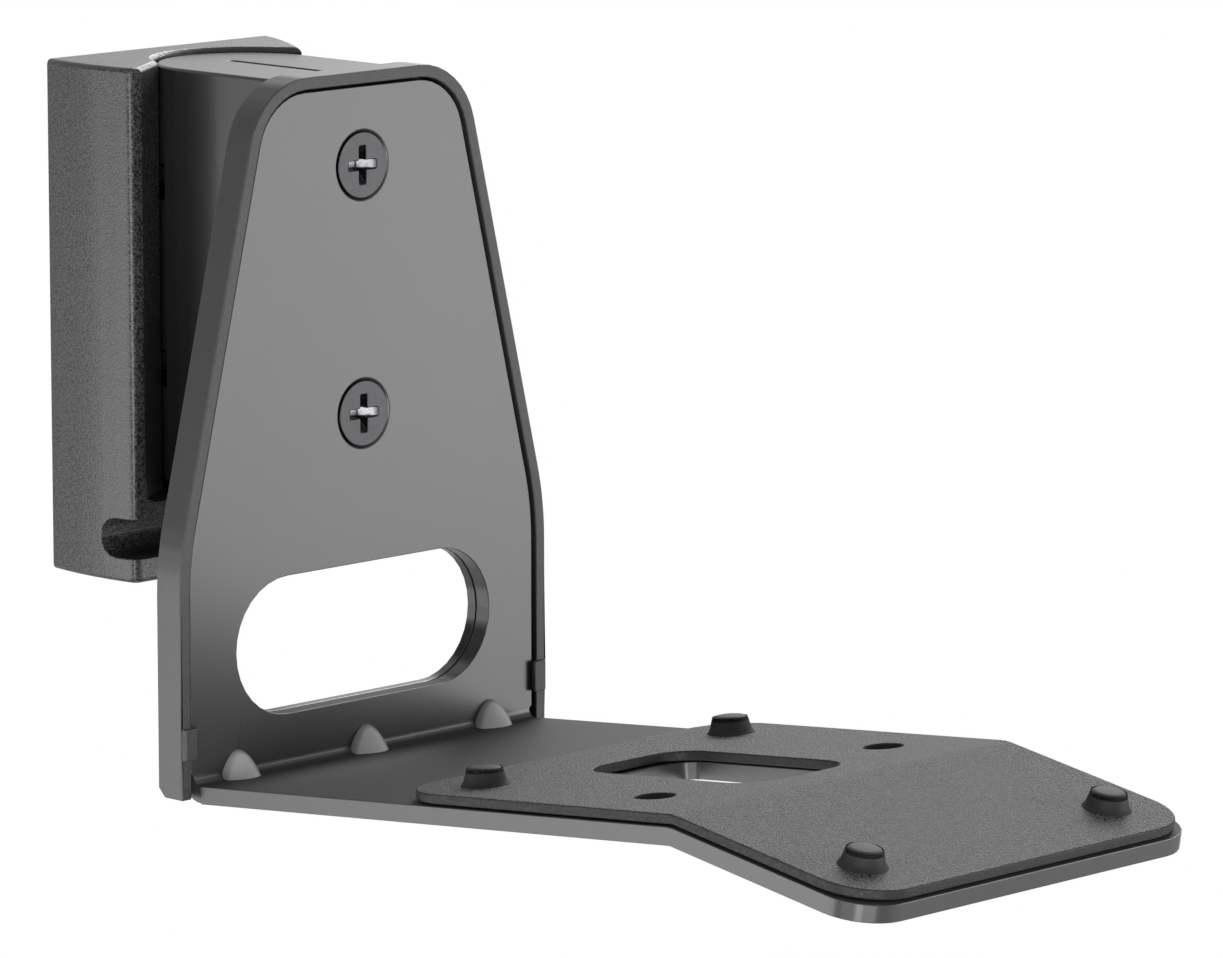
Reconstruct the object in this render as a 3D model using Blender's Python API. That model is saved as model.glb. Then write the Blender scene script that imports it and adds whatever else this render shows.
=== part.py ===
"""Speaker wall bracket.

A moulded wall box holds a swivelling arm. The arm ends in a shallow shell, and a folded steel
plate with a moulded pad is screwed into that shell. All sizes are in metres.
The wall is the plane Y = 0, the bracket reaches out along -Y, Z is up and X runs along the wall.
"""
import math

import bmesh
import bpy
from mathutils import Matrix

# Clearance between pieces that touch or run against each other
GAP = 0.0003

# Wall cover
COVER_HEIGHT = 0.0880
COVER_DEPTH = 0.0215
COVER_LEFT_BACK = 0.0254
COVER_LEFT_FRONT = 0.0256
COVER_RIGHT_BACK = 0.0264
COVER_RIGHT_FRONT = 0.0145
COVER_BULGE = 0.0010
COVER_SIDE_STEPS = 6
COVER_CORNER = 0.0019
COVER_WALL = 0.0022
COVER_EDGE = 0.0009
RECESS_CLEARANCE = 0.0004
RECESS_FLOOR_CLEARANCE = 0.0016
RECESS_FLOOR_FILLET = 0.0014
RECESS_TOP_CHAMFER = 0.0007
FLARE_START = math.radians(24.0)
FLARE_MOUTH_LEFT = 0.0232
FLARE_MOUTH_RIGHT = 0.0183
CHANNEL_HEIGHT = 0.0067
CHANNEL_DEPTH = 0.0079
CHANNEL_ABOVE_BOTTOM = 0.0042
CHANNEL_WALL = 0.0016

# Wall plate with its tabs and lip
WALL_PLATE_THICKNESS = 0.0025
WALL_PLATE_HALF = 0.0224
WALL_HOLE_RADIUS = 0.0026
WALL_HOLE_X = 0.0155
WALL_HOLE_FROM_END = 0.0095
TAB_THICKNESS = 0.0030
TAB_HALF_WIDTH = 0.0080
TAB_SPACING = 0.0320
LIP_LENGTH = 0.0065
LIP_HALF = 0.0185

# Swivel arm
ARM_HALF_WIDTH = 0.0147
ARM_DROP = 0.0009
ARM_HEIGHT = 0.0717
ARM_REACH = 0.0240
ARM_WALL = 0.0030
ARM_EDGE = 0.0005
ARM_LOWER_EDGE = 0.0010
SLIT_WIDTH = 0.0005
SLIT_DEPTH = 0.0012
SLIT_BACK = 0.0027
SLIT_FRONT_STOP = 0.0020
SWIVEL_LIMIT = math.radians(35.0)

# Pivot
BOLT_RADIUS = 0.0030
BOLT_HEAD_RADIUS = 0.0050
BOLT_HEAD_HEIGHT = 0.0060
BOLT_SOCKET_RADIUS = 0.0025
BOLT_HEAD_SINK = 0.0008
BUSH_WALL = 0.0013
WASHER_RADIUS = 0.0072
WASHER_THICKNESS = 0.0010
SPRING_HEIGHT = 0.0012
NUT_HALF = 0.0050
NUT_HEIGHT = 0.0050
NUT_BELOW_TOP = 0.0035
BOLT_PAST_NUT = 0.0010

# Shell on the end of the arm
SHELL_FLOOR = 0.0020
RIM_WALL = 0.0021
RIM_GAP = 0.0005
RIM_PROUD = 0.0006
SHELL_BELOW_BEND = 0.0038
SHELL_BACK_CHAMFER = 0.0015

# Hooks that hold the plate's lower sides
HOOK_HEIGHT = 0.0053
HOOK_ABOVE_BEND = 0.0030
HOOK_THICKNESS = 0.0009
HOOK_OVERLAP = 0.0005
HOOK_OUTER_EDGE = 0.0006
HOOK_TIP_EDGE = 0.0003

# Folded support plate
STEEL = 0.0030
PLATE_HALF = 0.0401
PLATE_TOP_HALF = 0.0214
PLATE_TOP_RADIUS = 0.0105
PLATE_TOP_DROP = 0.0018
UPRIGHT_LENGTH = 0.1120
SHOULDER_HEIGHT = 0.0360
SHOULDER_RADIUS = 0.0500
BEND_RADIUS = 0.0015
TRAY_RISE = math.radians(5.15)
TRAY_LENGTH = 0.1081
FOLD_RADIUS = 0.0030
FRONT_DROP = math.radians(9.45)
FRONT_LENGTH = 0.0411
FRONT_CORNER = 0.0085
RELIEF_WIDTH = 0.0006
RELIEF_LENGTH = 0.0004
OPENING_HALF_LENGTH = 0.0296
OPENING_RADIUS = 0.01175
OPENING_ABOVE_BEND = 0.0192

# Gussets pressed into the bend
GUSSET_RADIUS = 0.0040
GUSSET_HEIGHT = 0.0042
GUSSET_SPACING = 0.0297

# Plate screws and their inserts
SCREW_RADIUS = 0.0030
SCREW_HEAD_RADIUS = 0.0053
SCREW_SEAT_RADIUS = 0.0061
SCREW_LENGTH = 0.0120
SCREW_UPPER_BELOW_TOP = 0.0133
SCREW_SPACING = 0.0422
CROSS_HALF_LENGTH = 0.0033
CROSS_HALF_WIDTH = 0.0008
CROSS_DEPTH = 0.0016
INSERT_WALL = 0.0012
INSERT_LENGTH = 0.0090
BOSS_WALL = 0.0016
RIB_THICKNESS = 0.0020

# Pad
PAD_GAP = 0.0003
PAD_THICKNESS = 0.0017
PAD_INSET = 0.0004
PAD_START = 0.0457
PAD_BACK_CORNER = 0.0030
PEG_BASE_RADIUS = 0.0043
PEG_TOP_RADIUS = 0.0029
PEG_FOOT = 0.0009
PEG_EDGE = 0.0003
PEG_X = 0.0289
PEG_BACK_AT = 0.0569
PEG_FRONT_AT = 0.0298
PEG_BACK_HEIGHT = 0.0034
PEG_FRONT_HEIGHT = 0.0040
TRAY_HOLE_RADIUS = 0.0033
TRAY_HOLE_X = 0.0269
TRAY_HOLE_AT = 0.0931
CUTOUT_HALF_WIDTH = 0.0119
CUTOUT_START = 0.0630
CUTOUT_LENGTH = 0.0385
CUTOUT_CORNER = 0.0025
STEEL_CUTOUT_MARGIN = 0.0006

# Cover screws
LOCK_RADIUS = 0.0015
LOCK_HEAD_RADIUS = 0.0028
LOCK_LENGTH = 0.0055
LOCK_X = 0.0140
LOCK_FROM_WALL = 0.0062

# Number of straight steps in a quarter turn of a small and of a large round
SMALL_STEPS = 4
ROUND_STEPS = 8
CIRCLE_STEPS = 32

# Places that follow from the sizes above
PIVOT_Y = -COVER_DEPTH
COVER_TOP = COVER_HEIGHT / 2
ARM_TOP = COVER_TOP - ARM_DROP
ARM_BOTTOM = ARM_TOP - ARM_HEIGHT
RECESS_FLOOR = ARM_BOTTOM - RECESS_FLOOR_CLEARANCE
SHELL_BACK_Y = PIVOT_Y - ARM_REACH
SHELL_FRONT_Y = SHELL_BACK_Y - SHELL_FLOOR
PLATE_BACK_Y = SHELL_FRONT_Y - GAP
PLATE_FRONT_Y = PLATE_BACK_Y - STEEL
RIM_FRONT_Y = PLATE_FRONT_Y - RIM_PROUD
RIM_OFFSET = RIM_GAP + RIM_WALL
PLATE_TOP = ARM_TOP - PLATE_TOP_DROP
BEND_TOP = PLATE_TOP - UPRIGHT_LENGTH
SCREW_UPPER_Z = PLATE_TOP - SCREW_UPPER_BELOW_TOP
SCREW_LOWER_Z = SCREW_UPPER_Z - SCREW_SPACING
OPENING_Z = BEND_TOP + OPENING_ABOVE_BEND
SHELL_BOTTOM = BEND_TOP - SHELL_BELOW_BEND
TAB_MIDDLE_Z = (ARM_TOP + ARM_BOTTOM) / 2
TAB_LEVELS = {"upper": TAB_MIDDLE_Z + TAB_SPACING / 2, "lower": TAB_MIDDLE_Z - TAB_SPACING / 2}
WASHER_LEVEL = TAB_THICKNESS / 2 + GAP + WASHER_THICKNESS / 2
KNUCKLE_SLOT_HALF = TAB_THICKNESS / 2 + WASHER_THICKNESS + 2 * GAP
BOLT_BORE = BOLT_RADIUS + GAP
BUSH_RADIUS = BOLT_BORE + BUSH_WALL
CHANNEL_Z = -COVER_HEIGHT / 2 + CHANNEL_ABOVE_BOTTOM + CHANNEL_HEIGHT / 2
WALL_PLATE_END = COVER_HEIGHT / 2 - COVER_WALL - GAP
INSERT_RADIUS = SCREW_RADIUS + GAP + INSERT_WALL
HOLLOW_BACK_Y = PIVOT_Y - TAB_HALF_WIDTH - GAP - ARM_WALL
BOLT_HEAD_LOW = ARM_BOTTOM + BOLT_HEAD_SINK
BOLT_SEAT = BOLT_HEAD_LOW + BOLT_HEAD_HEIGHT + SPRING_HEIGHT + 2 * GAP
NUT_TOP = ARM_TOP - NUT_BELOW_TOP
BOLT_TOP = NUT_TOP + BOLT_PAST_NUT

# Stations along the folded sheet's front face, measured from its top edge
BEND_ANGLE = math.pi / 2 + TRAY_RISE
FOLD_ANGLE = TRAY_RISE + FRONT_DROP
FOLD_OUTER = FOLD_RADIUS + STEEL
BEND_START = UPRIGHT_LENGTH
BEND_END = BEND_START + BEND_RADIUS * BEND_ANGLE
FOLD_START = BEND_END + TRAY_LENGTH
FOLD_END = FOLD_START + FOLD_OUTER * FOLD_ANGLE
SHEET_END = FOLD_END + FRONT_LENGTH


def grow(corners, distance):
    """Move every edge of an anticlockwise outline outward. A corner is (x, y, radius)."""
    grown = []
    for index, (x, y, radius) in enumerate(corners):
        x0, y0 = corners[index - 1][:2]
        x2, y2 = corners[(index + 1) % len(corners)][:2]
        before = math.hypot(x - x0, y - y0)
        after = math.hypot(x2 - x, y2 - y)
        nx0, ny0 = (y - y0) / before, (x0 - x) / before
        nx1, ny1 = (y2 - y) / after, (x - x2) / after
        step = distance / (1 + nx0 * nx1 + ny0 * ny1)
        convex = nx0 * ny1 - ny0 * nx1 > 0
        if radius:
            radius = max(radius + (distance if convex else -distance), 0.00005)
        grown.append((x + (nx0 + nx1) * step, y + (ny0 + ny1) * step, radius))
    return grown


def arc(cx, cy, radius, start, end, steps):
    """Points on a circular arc between two angles, both ends included."""
    angles = [start + (end - start) * k / steps for k in range(steps + 1)]
    return [(cx + radius * math.cos(a), cy + radius * math.sin(a)) for a in angles]


def rounded(corners, steps=SMALL_STEPS):
    """The points of an outline whose corners are rounded to their radii."""
    points = []
    for index, (x, y, radius) in enumerate(corners):
        if not radius:
            points.append((x, y))
            continue
        x0, y0 = corners[index - 1][:2]
        x2, y2 = corners[(index + 1) % len(corners)][:2]
        before, after = math.hypot(x0 - x, y0 - y), math.hypot(x2 - x, y2 - y)
        ax, ay = (x0 - x) / before, (y0 - y) / before
        bx, by = (x2 - x) / after, (y2 - y) / after
        half = math.acos(max(-1.0, min(1.0, ax * bx + ay * by))) / 2
        reach = radius / math.tan(half)
        middle = math.hypot(ax + bx, ay + by)
        cx = x + (ax + bx) / middle * radius / math.sin(half)
        cy = y + (ay + by) / middle * radius / math.sin(half)
        start = math.atan2(y + ay * reach - cy, x + ax * reach - cx)
        end = math.atan2(y + by * reach - cy, x + bx * reach - cx)
        turn = (end - start + math.pi) % (2 * math.pi) - math.pi
        points += arc(cx, cy, radius, start, start + turn, steps)
    return points


def rectangle(x0, x1, y0, y1, radius=0.0):
    """An anticlockwise rectangle with equal corners."""
    return [(x0, y0, radius), (x1, y0, radius), (x1, y1, radius), (x0, y1, radius)]


def mirrored(corners):
    """Complete an outline from its right half, listed upward from the lowest corner."""
    return corners + [(-x, y, radius) for x, y, radius in reversed(corners)]


def place(axis, u, v, w):
    """Put an outline point (u, v) at height w along an axis."""
    return {"X": (w, u, v), "Y": (u, w, v), "Z": (u, v, w)}[axis]


def edge_levels(low, high, low_edge, high_edge, steps):
    """Heights and insets of the loops of a slab whose end edges are rounded or chamfered."""
    turns = [math.pi / 2 * k / steps for k in range(steps + 1)]
    lower = [(low + low_edge * (1 - math.cos(t)), low_edge * (1 - math.sin(t))) for t in turns]
    upper = [(high - high_edge * (1 - math.cos(t)), high_edge * (1 - math.sin(t))) for t in turns]
    if not low_edge:
        lower = [(low, 0.0)]
    if not high_edge:
        upper = [(high, 0.0)]
    return lower + upper[::-1]


def new_object(name, mesh, look=None):
    """Turn a bmesh into an object of the scene, with its flats kept crisp."""
    data = bpy.data.meshes.new(name)
    mesh.to_mesh(data)
    mesh.free()
    data.shade_smooth()
    data.set_sharp_from_angle(angle=math.radians(32))
    piece = bpy.data.objects.new(name, data)
    bpy.context.collection.objects.link(piece)
    if look:
        data.materials.append(look)
    return piece


def loft(name, loops, look=None, ring=False):
    """A solid through closed loops of points: capped at both ends, or closed on itself as a ring."""
    mesh = bmesh.new()
    rows = [[mesh.verts.new(point) for point in loop] for loop in loops]
    pairs = list(zip(rows, rows[1:]))
    if ring:
        pairs.append((rows[-1], rows[0]))
    for lower, upper in pairs:
        for index in range(len(lower)):
            after = (index + 1) % len(lower)
            mesh.faces.new((lower[index], lower[after], upper[after], upper[index]))
    if not ring:
        mesh.faces.new(rows[0])
        mesh.faces.new(rows[-1])
    bmesh.ops.recalc_face_normals(mesh, faces=mesh.faces)
    return new_object(name, mesh, look)


def slab(name, corners, axis, low, high, look=None, low_edge=0.0, high_edge=0.0,
         edge_steps=1, corner_steps=SMALL_STEPS):
    """An outline pushed along an axis. A negative edge flares a cutter outward."""
    loops = []
    for level, inset in edge_levels(low, high, low_edge, high_edge, edge_steps):
        outline = rounded(grow(corners, -inset), corner_steps)
        loops.append([place(axis, u, v, level) for u, v in outline])
    return loft(name, loops, look)


def turned(name, profile, centre, axis, look=None, ring=False, steps=CIRCLE_STEPS):
    """A turned piece. The profile lists (radius, height) along the axis from its centre."""
    u0, v0, w0 = {"X": (1, 2, 0), "Y": (0, 2, 1), "Z": (0, 1, 2)}[axis]
    loops = []
    for radius, height in profile:
        circle = arc(centre[u0], centre[v0], radius, 0.0, 2 * math.pi, steps)[:-1]
        loops.append([place(axis, u, v, centre[w0] + height) for u, v in circle])
    return loft(name, loops, look, ring)


def hide(tool):
    """Show a cutter as wire and keep it out of the model."""
    tool.hide_render = True
    tool.display_type = "WIRE"


def combine(body, operation, tools):
    """Add one exact Boolean step for each tool."""
    for tool in tools:
        step = body.modifiers.new(tool.name, "BOOLEAN")
        step.operation = operation
        step.solver = "EXACT"
        step.object = tool
        hide(tool)
    return body


def cut(body, *tools):
    return combine(body, "DIFFERENCE", tools)


def join(body, *tools):
    return combine(body, "UNION", tools)


def finished_mesh(piece):
    """A bmesh of an object after its modifiers."""
    bpy.context.view_layer.update()
    evaluated = piece.evaluated_get(bpy.context.evaluated_depsgraph_get())
    mesh = bmesh.new()
    mesh.from_mesh(evaluated.to_mesh())
    evaluated.to_mesh_clear()
    return mesh


def look(name, colour, roughness, metallic=0.0):
    """A plain shader with a linear colour."""
    made = bpy.data.materials.new(name)
    made.use_nodes = True
    shader = made.node_tree.nodes["Principled BSDF"]
    shader.inputs["Base Color"].default_value = (*colour, 1.0)
    shader.inputs["Roughness"].default_value = roughness
    shader.inputs["Metallic"].default_value = metallic
    made.diffuse_color = (*colour, 1.0)
    return made


def cover_side(front, back, back_y):
    """One side of the cover's plan, from its front corner back to a given place, bellied out a little."""
    side = [(front, -COVER_DEPTH, COVER_CORNER)]
    for k in range(1, COVER_SIDE_STEPS):
        t = k / COVER_SIDE_STEPS
        side.append((front + (back - front) * t + COVER_BULGE * 4 * t * (1 - t), COVER_DEPTH * (t - 1), 0.0))
    return side + [(back, back_y, 0.0)]


def cover_plan(inset, back_y=0.0):
    """Plan of the wall cover: a flat front, a nearly square left side and a right side that slants in."""
    right = cover_side(COVER_RIGHT_FRONT, COVER_RIGHT_BACK, back_y + inset)
    left = cover_side(COVER_LEFT_FRONT, COVER_LEFT_BACK, back_y + inset)
    plan = right + [(-x, y, radius) for x, y, radius in reversed(left)]
    return rounded([(x, y, radius and max(radius, COVER_CORNER / 4)) for x, y, radius in grow(plan, -inset)])


def flare(mouth, grown):
    """Where a flare of the recess leaves the round, as an angle, and a point on it beyond the cover's front."""
    radius = ARM_HALF_WIDTH + RECESS_CLEARANCE
    px, py = radius * math.cos(FLARE_START), radius * math.sin(FLARE_START)
    length = math.hypot(mouth - px, py)
    fx, fy = (mouth - px) / length, -py / length
    px, py = px - fy * grown, py + fx * grown
    along = px * fx + py * fy
    slide = -along + math.sqrt(along ** 2 - (px ** 2 + py ** 2) + (radius + grown) ** 2)
    px, py = px + fx * slide, py + fy * slide
    beyond = (py + COVER_CORNER * 2) / -fy
    return math.atan2(py, px), (px + fx * beyond, py + fy * beyond)


def recess_plan(grown):
    """Plan of the arm's recess: round about the pivot, then flaring to the mouth on both sides."""
    start, first = flare(FLARE_MOUTH_RIGHT, grown)
    end, last = flare(FLARE_MOUTH_LEFT, grown)
    radius = ARM_HALF_WIDTH + RECESS_CLEARANCE + grown
    points = [first] + arc(0.0, 0.0, radius, start, math.pi - end, 3 * ROUND_STEPS) + [(-last[0], last[1])]
    return [(x, y + PIVOT_Y) for x, y in points]


def recess_solid(name, levels):
    """A solid with the recess's plan, grown by its own amount at each level."""
    return loft(name, [[(x, y, z) for x, y in recess_plan(grown)] for z, grown in levels])


def make_wall_cover(plastic):
    """Moulded box: hollow behind, recess and cable channel in front."""
    half = COVER_HEIGHT / 2
    levels = edge_levels(-half, half, COVER_EDGE, COVER_EDGE, 3)
    cover = loft("wall_cover", [[(x, y, z) for x, y in cover_plan(inset)] for z, inset in levels], plastic)

    inside = half - COVER_WALL
    hollow = loft("cover_hollow", [[(x, y, z) for x, y in cover_plan(COVER_WALL, COVER_WALL)]
                                   for z in (-inside, inside)])
    under_floor = RECESS_FLOOR - COVER_WALL
    housing = recess_solid("recess_housing", [(under_floor, COVER_WALL), (half * 1.2, COVER_WALL)])
    channel_back = CHANNEL_DEPTH - COVER_DEPTH
    channel_top = CHANNEL_Z + CHANNEL_HEIGHT / 2
    block = rectangle(-COVER_DEPTH * 1.2, channel_back + CHANNEL_WALL, -half * 1.1, channel_top + CHANNEL_WALL)
    channel_block = slab("channel_block", block, "X", -COVER_LEFT_BACK * 1.2, COVER_RIGHT_BACK * 1.2)
    cut(hollow, housing, channel_block)

    turns = [math.pi / 2 * k / 3 for k in range(4)]
    levels = [(RECESS_FLOOR + RECESS_FLOOR_FILLET * (1 - math.cos(t)), -RECESS_FLOOR_FILLET * (1 - math.sin(t)))
              for t in turns]
    levels += [(half - RECESS_TOP_CHAMFER, 0.0), (half + RECESS_TOP_CHAMFER, 2 * RECESS_TOP_CHAMFER)]
    recess = recess_solid("recess", levels)
    channel_low = CHANNEL_Z - CHANNEL_HEIGHT / 2
    end = CHANNEL_HEIGHT * 0.49
    mouth = [(-COVER_DEPTH * 1.2, channel_low, 0.0), (channel_back, channel_low, end),
             (channel_back, channel_top, end), (-COVER_DEPTH * 1.2, channel_top, 0.0)]
    channel = slab("channel", mouth, "X", -COVER_LEFT_BACK * 1.2, COVER_RIGHT_BACK * 1.2)
    cut(cover, hollow, recess, channel)

    for level, z in TAB_LEVELS.items():
        width, height = TAB_HALF_WIDTH + GAP, TAB_THICKNESS / 2 + GAP
        window = rectangle(-width, width, z - height, z + height)
        cut(cover, slab("tab_window_" + level, window, "Y", PIVOT_Y, -WALL_PLATE_THICKNESS))
    groove = BOLT_HEAD_RADIUS + 2 * GAP
    cut(cover, turned("bolt_groove", [(groove, -half * 1.1), (groove, 0.0)], (0.0, PIVOT_Y, 0.0), "Z"))
    for side in (-1, 1):
        seat = LOCK_HEAD_RADIUS + GAP
        shank = LOCK_RADIUS + GAP
        profile = [(seat + COVER_EDGE, -COVER_EDGE), (shank, seat - shank), (shank, 2 * COVER_WALL)]
        cut(cover, turned(f"lock_seat_{side}", profile, (side * LOCK_X, -LOCK_FROM_WALL, -half), "Z"))
    return cover


def make_wall_plate(steel):
    """Steel plate on the wall, with two welded tabs for the arm and a lip for the cover's screws."""
    outline = rectangle(-WALL_PLATE_HALF, WALL_PLATE_HALF, -WALL_PLATE_END, WALL_PLATE_END, 0.0015)
    plate = slab("wall_plate", outline, "Y", -WALL_PLATE_THICKNESS, 0.0, steel)
    weld = WALL_PLATE_THICKNESS / 2
    for level, z in TAB_LEVELS.items():
        nose = PIVOT_Y - TAB_HALF_WIDTH
        round_end = TAB_HALF_WIDTH * 0.999
        plan = [(-TAB_HALF_WIDTH, nose, round_end), (TAB_HALF_WIDTH, nose, round_end),
                (TAB_HALF_WIDTH, -weld, 0.0), (-TAB_HALF_WIDTH, -weld, 0.0)]
        low, high = z - TAB_THICKNESS / 2, z + TAB_THICKNESS / 2
        join(plate, slab("tab_" + level, plan, "Z", low, high, corner_steps=ROUND_STEPS))
    lip_plan = rectangle(-LIP_HALF, LIP_HALF, -WALL_PLATE_THICKNESS - LIP_LENGTH, -weld)
    low = GAP / 4 - WALL_PLATE_END
    join(plate, slab("lip", lip_plan, "Z", low, low + WALL_PLATE_THICKNESS))
    bore = BUSH_RADIUS + GAP
    low = TAB_LEVELS["lower"] - TAB_THICKNESS
    high = TAB_LEVELS["upper"] + TAB_THICKNESS
    cut(plate, turned("tab_bore", [(bore, low), (bore, high)], (0.0, PIVOT_Y, 0.0), "Z"))
    for x in (-WALL_HOLE_X, WALL_HOLE_X):
        for z in (WALL_HOLE_FROM_END - WALL_PLATE_END, WALL_PLATE_END - WALL_HOLE_FROM_END):
            wide = WALL_HOLE_RADIUS * 2
            profile = [(wide + GAP, -WALL_PLATE_THICKNESS - GAP), (WALL_HOLE_RADIUS, wide - WALL_PLATE_THICKNESS
                       - WALL_HOLE_RADIUS), (WALL_HOLE_RADIUS, WALL_PLATE_THICKNESS)]
            cut(plate, turned("wall_hole", profile, (x, 0.0, z), "Y", steps=20))
    for side in (-1, 1):
        tap = LOCK_RADIUS + GAP
        place_at = (side * LOCK_X, -LOCK_FROM_WALL, -WALL_PLATE_END)
        profile = [(tap, -WALL_PLATE_THICKNESS), (tap, 2 * WALL_PLATE_THICKNESS)]
        cut(plate, turned("lock_tap", profile, place_at, "Z", steps=20))
    return plate


def plate_outline():
    """Upright's outline in the front view, down to the bend: narrow top, slanting and then upright sides."""
    shoulder = BEND_TOP + SHOULDER_HEIGHT
    right = [(PLATE_HALF, BEND_TOP, 0.0), (PLATE_HALF, shoulder, SHOULDER_RADIUS),
             (PLATE_TOP_HALF, PLATE_TOP, PLATE_TOP_RADIUS)]
    return mirrored(right)


def shell_outline(offset, bottom):
    """The plate's outline grown outward, its lower sides carried down to the given height."""
    grown = grow(plate_outline(), offset)
    grown[0] = (grown[0][0], bottom, 0.0)
    grown[-1] = (grown[-1][0], bottom, 0.0)
    return grown


def opening_outline(centre_z):
    """The oblong cable opening, with full round ends."""
    end = OPENING_RADIUS * 0.999
    low, high = centre_z - OPENING_RADIUS, centre_z + OPENING_RADIUS
    return rectangle(-OPENING_HALF_LENGTH, OPENING_HALF_LENGTH, low, high, end)


def knuckle_plan():
    """Plan of the slots in the barrel: the room that a tab sweeps while the arm swings to its limits."""
    width = TAB_HALF_WIDTH + GAP
    reach = 2 * ARM_HALF_WIDTH
    limit = SWIVEL_LIMIT + math.radians(1.0)
    points = arc(0.0, PIVOT_Y, width, math.pi + limit, 2 * math.pi - limit, 2 * ROUND_STEPS)
    x, y = points[-1]
    x, y = x + reach * math.sin(limit), y + reach * math.cos(limit)
    return points + [(x, y), (-x, y)]


def arm_hollow():
    """Hollow of the arm, open towards the plate, around two bosses tied to the walls by ribs."""
    wall = ARM_HALF_WIDTH - ARM_WALL
    outline = rectangle(-wall, wall, ARM_BOTTOM + ARM_WALL, ARM_TOP - ARM_WALL, 0.0020)
    hollow = slab("arm_hollow", outline, "Y", SHELL_FRONT_Y - SHELL_FLOOR, HOLLOW_BACK_Y)
    boss = INSERT_RADIUS + GAP + BOSS_WALL
    for level, z in (("upper", SCREW_UPPER_Z), ("lower", SCREW_LOWER_Z)):
        low, high = SHELL_FRONT_Y, HOLLOW_BACK_Y + ARM_WALL
        profile = [(boss, low), (boss, high)]
        rib = rectangle(-ARM_HALF_WIDTH, ARM_HALF_WIDTH, z - RIB_THICKNESS / 2, z + RIB_THICKNESS / 2)
        cut(hollow, turned("boss_" + level, profile, (0.0, 0.0, z), "Y"),
            slab("rib_" + level, rib, "Y", SHELL_BACK_Y, high))
    return hollow


def make_hook(side):
    """A hook's plan: up the outer side, round over the edge and inward over the plate."""
    outer = PLATE_HALF + RIM_OFFSET - GAP / 3
    root = PLATE_HALF + RIM_GAP + GAP / 3
    tip = PLATE_HALF - HOOK_OVERLAP
    under = PLATE_FRONT_Y - GAP
    front = under - HOOK_THICKNESS
    base = SHELL_FRONT_Y + SHELL_FLOOR / 2
    right = [(tip, front, HOOK_TIP_EDGE), (outer, front, HOOK_OUTER_EDGE), (outer, base, 0.0),
             (root, base, 0.0), (root, under, 0.0), (tip, under, 0.0)]
    plan = right if side > 0 else [(-x, y, radius) for x, y, radius in reversed(right)]
    low = BEND_TOP + HOOK_ABOVE_BEND
    return slab(f"hook_{side}", plan, "Z", low, low + HOOK_HEIGHT)


def make_arm_shell(plastic):
    """Swivel arm with a barrel end, moulded in one piece with the shell that holds the plate."""
    front, back, barrel = SHELL_BACK_Y - SHELL_FLOOR / 2, PIVOT_Y + ARM_HALF_WIDTH, ARM_HALF_WIDTH * 0.999
    plan = [(-ARM_HALF_WIDTH, front, 0.0), (ARM_HALF_WIDTH, front, 0.0),
            (ARM_HALF_WIDTH, back, barrel), (-ARM_HALF_WIDTH, back, barrel)]
    arm = slab("arm", plan, "Z", ARM_BOTTOM, ARM_TOP, None, ARM_LOWER_EDGE, ARM_EDGE, 2, 3 * SMALL_STEPS)
    shell = slab("arm_shell", shell_outline(RIM_OFFSET, SHELL_BOTTOM), "Y", RIM_FRONT_Y, SHELL_BACK_Y, plastic,
                 corner_steps=ROUND_STEPS)
    pocket = slab("plate_pocket", shell_outline(RIM_GAP, SHELL_BOTTOM - SHELL_FLOOR), "Y",
                  RIM_FRONT_Y - RIM_WALL, SHELL_FRONT_Y, corner_steps=ROUND_STEPS)
    join(shell, arm)
    cut(shell, pocket)

    width = PLATE_HALF * 1.2
    low, back = SHELL_BOTTOM - GAP, SHELL_BACK_Y + GAP
    reach = SHELL_BACK_CHAMFER + 2 * GAP
    wedge = [(back - reach, low, 0.0), (back, low, 0.0), (back, low + reach, 0.0)]
    cut(shell, slab("bottom_chamfer", wedge, "X", -width, width), arm_hollow())

    opening = opening_outline(OPENING_Z)
    cut(shell, slab("shell_opening", opening, "Y", SHELL_FRONT_Y - SHELL_FLOOR, SHELL_BACK_Y + SHELL_FLOOR,
                    corner_steps=ROUND_STEPS))

    join(shell, make_hook(-1), make_hook(1))

    for level, z in TAB_LEVELS.items():
        plan = [(x, y, 0.0) for x, y in knuckle_plan()]
        cut(shell, slab("knuckle_slot_" + level, plan, "Z", z - KNUCKLE_SLOT_HALF, z + KNUCKLE_SLOT_HALF))
    head = BOLT_HEAD_RADIUS + GAP
    profile = [(head, ARM_BOTTOM - ARM_WALL), (head, BOLT_SEAT), (BOLT_BORE, BOLT_SEAT),
               (BOLT_BORE, BOLT_TOP + GAP)]
    cut(shell, turned("bolt_bore", profile, (0.0, PIVOT_Y, 0.0), "Z"))
    nut_room = rectangle(-NUT_HALF - GAP, NUT_HALF + GAP, SHELL_FRONT_Y - SHELL_FLOOR, PIVOT_Y + NUT_HALF + GAP)
    cut(shell, slab("nut_room", nut_room, "Z", NUT_TOP - NUT_HEIGHT - GAP, NUT_TOP + GAP))
    for level, z in (("upper", SCREW_UPPER_Z), ("lower", SCREW_LOWER_Z)):
        bore = INSERT_RADIUS + GAP
        profile = [(bore, SHELL_FRONT_Y - SHELL_FLOOR), (bore, SHELL_FRONT_Y + INSERT_LENGTH + 3 * GAP)]
        cut(shell, turned("insert_bore_" + level, profile, (0.0, 0.0, z), "Y"))
    slit = rectangle(-SLIT_WIDTH / 2, SLIT_WIDTH / 2, SHELL_BACK_Y + SLIT_FRONT_STOP, PIVOT_Y + SLIT_BACK)
    cut(shell, slab("slit", slit, "Z", ARM_TOP - SLIT_DEPTH, ARM_TOP + SLIT_DEPTH))
    return shell


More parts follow.
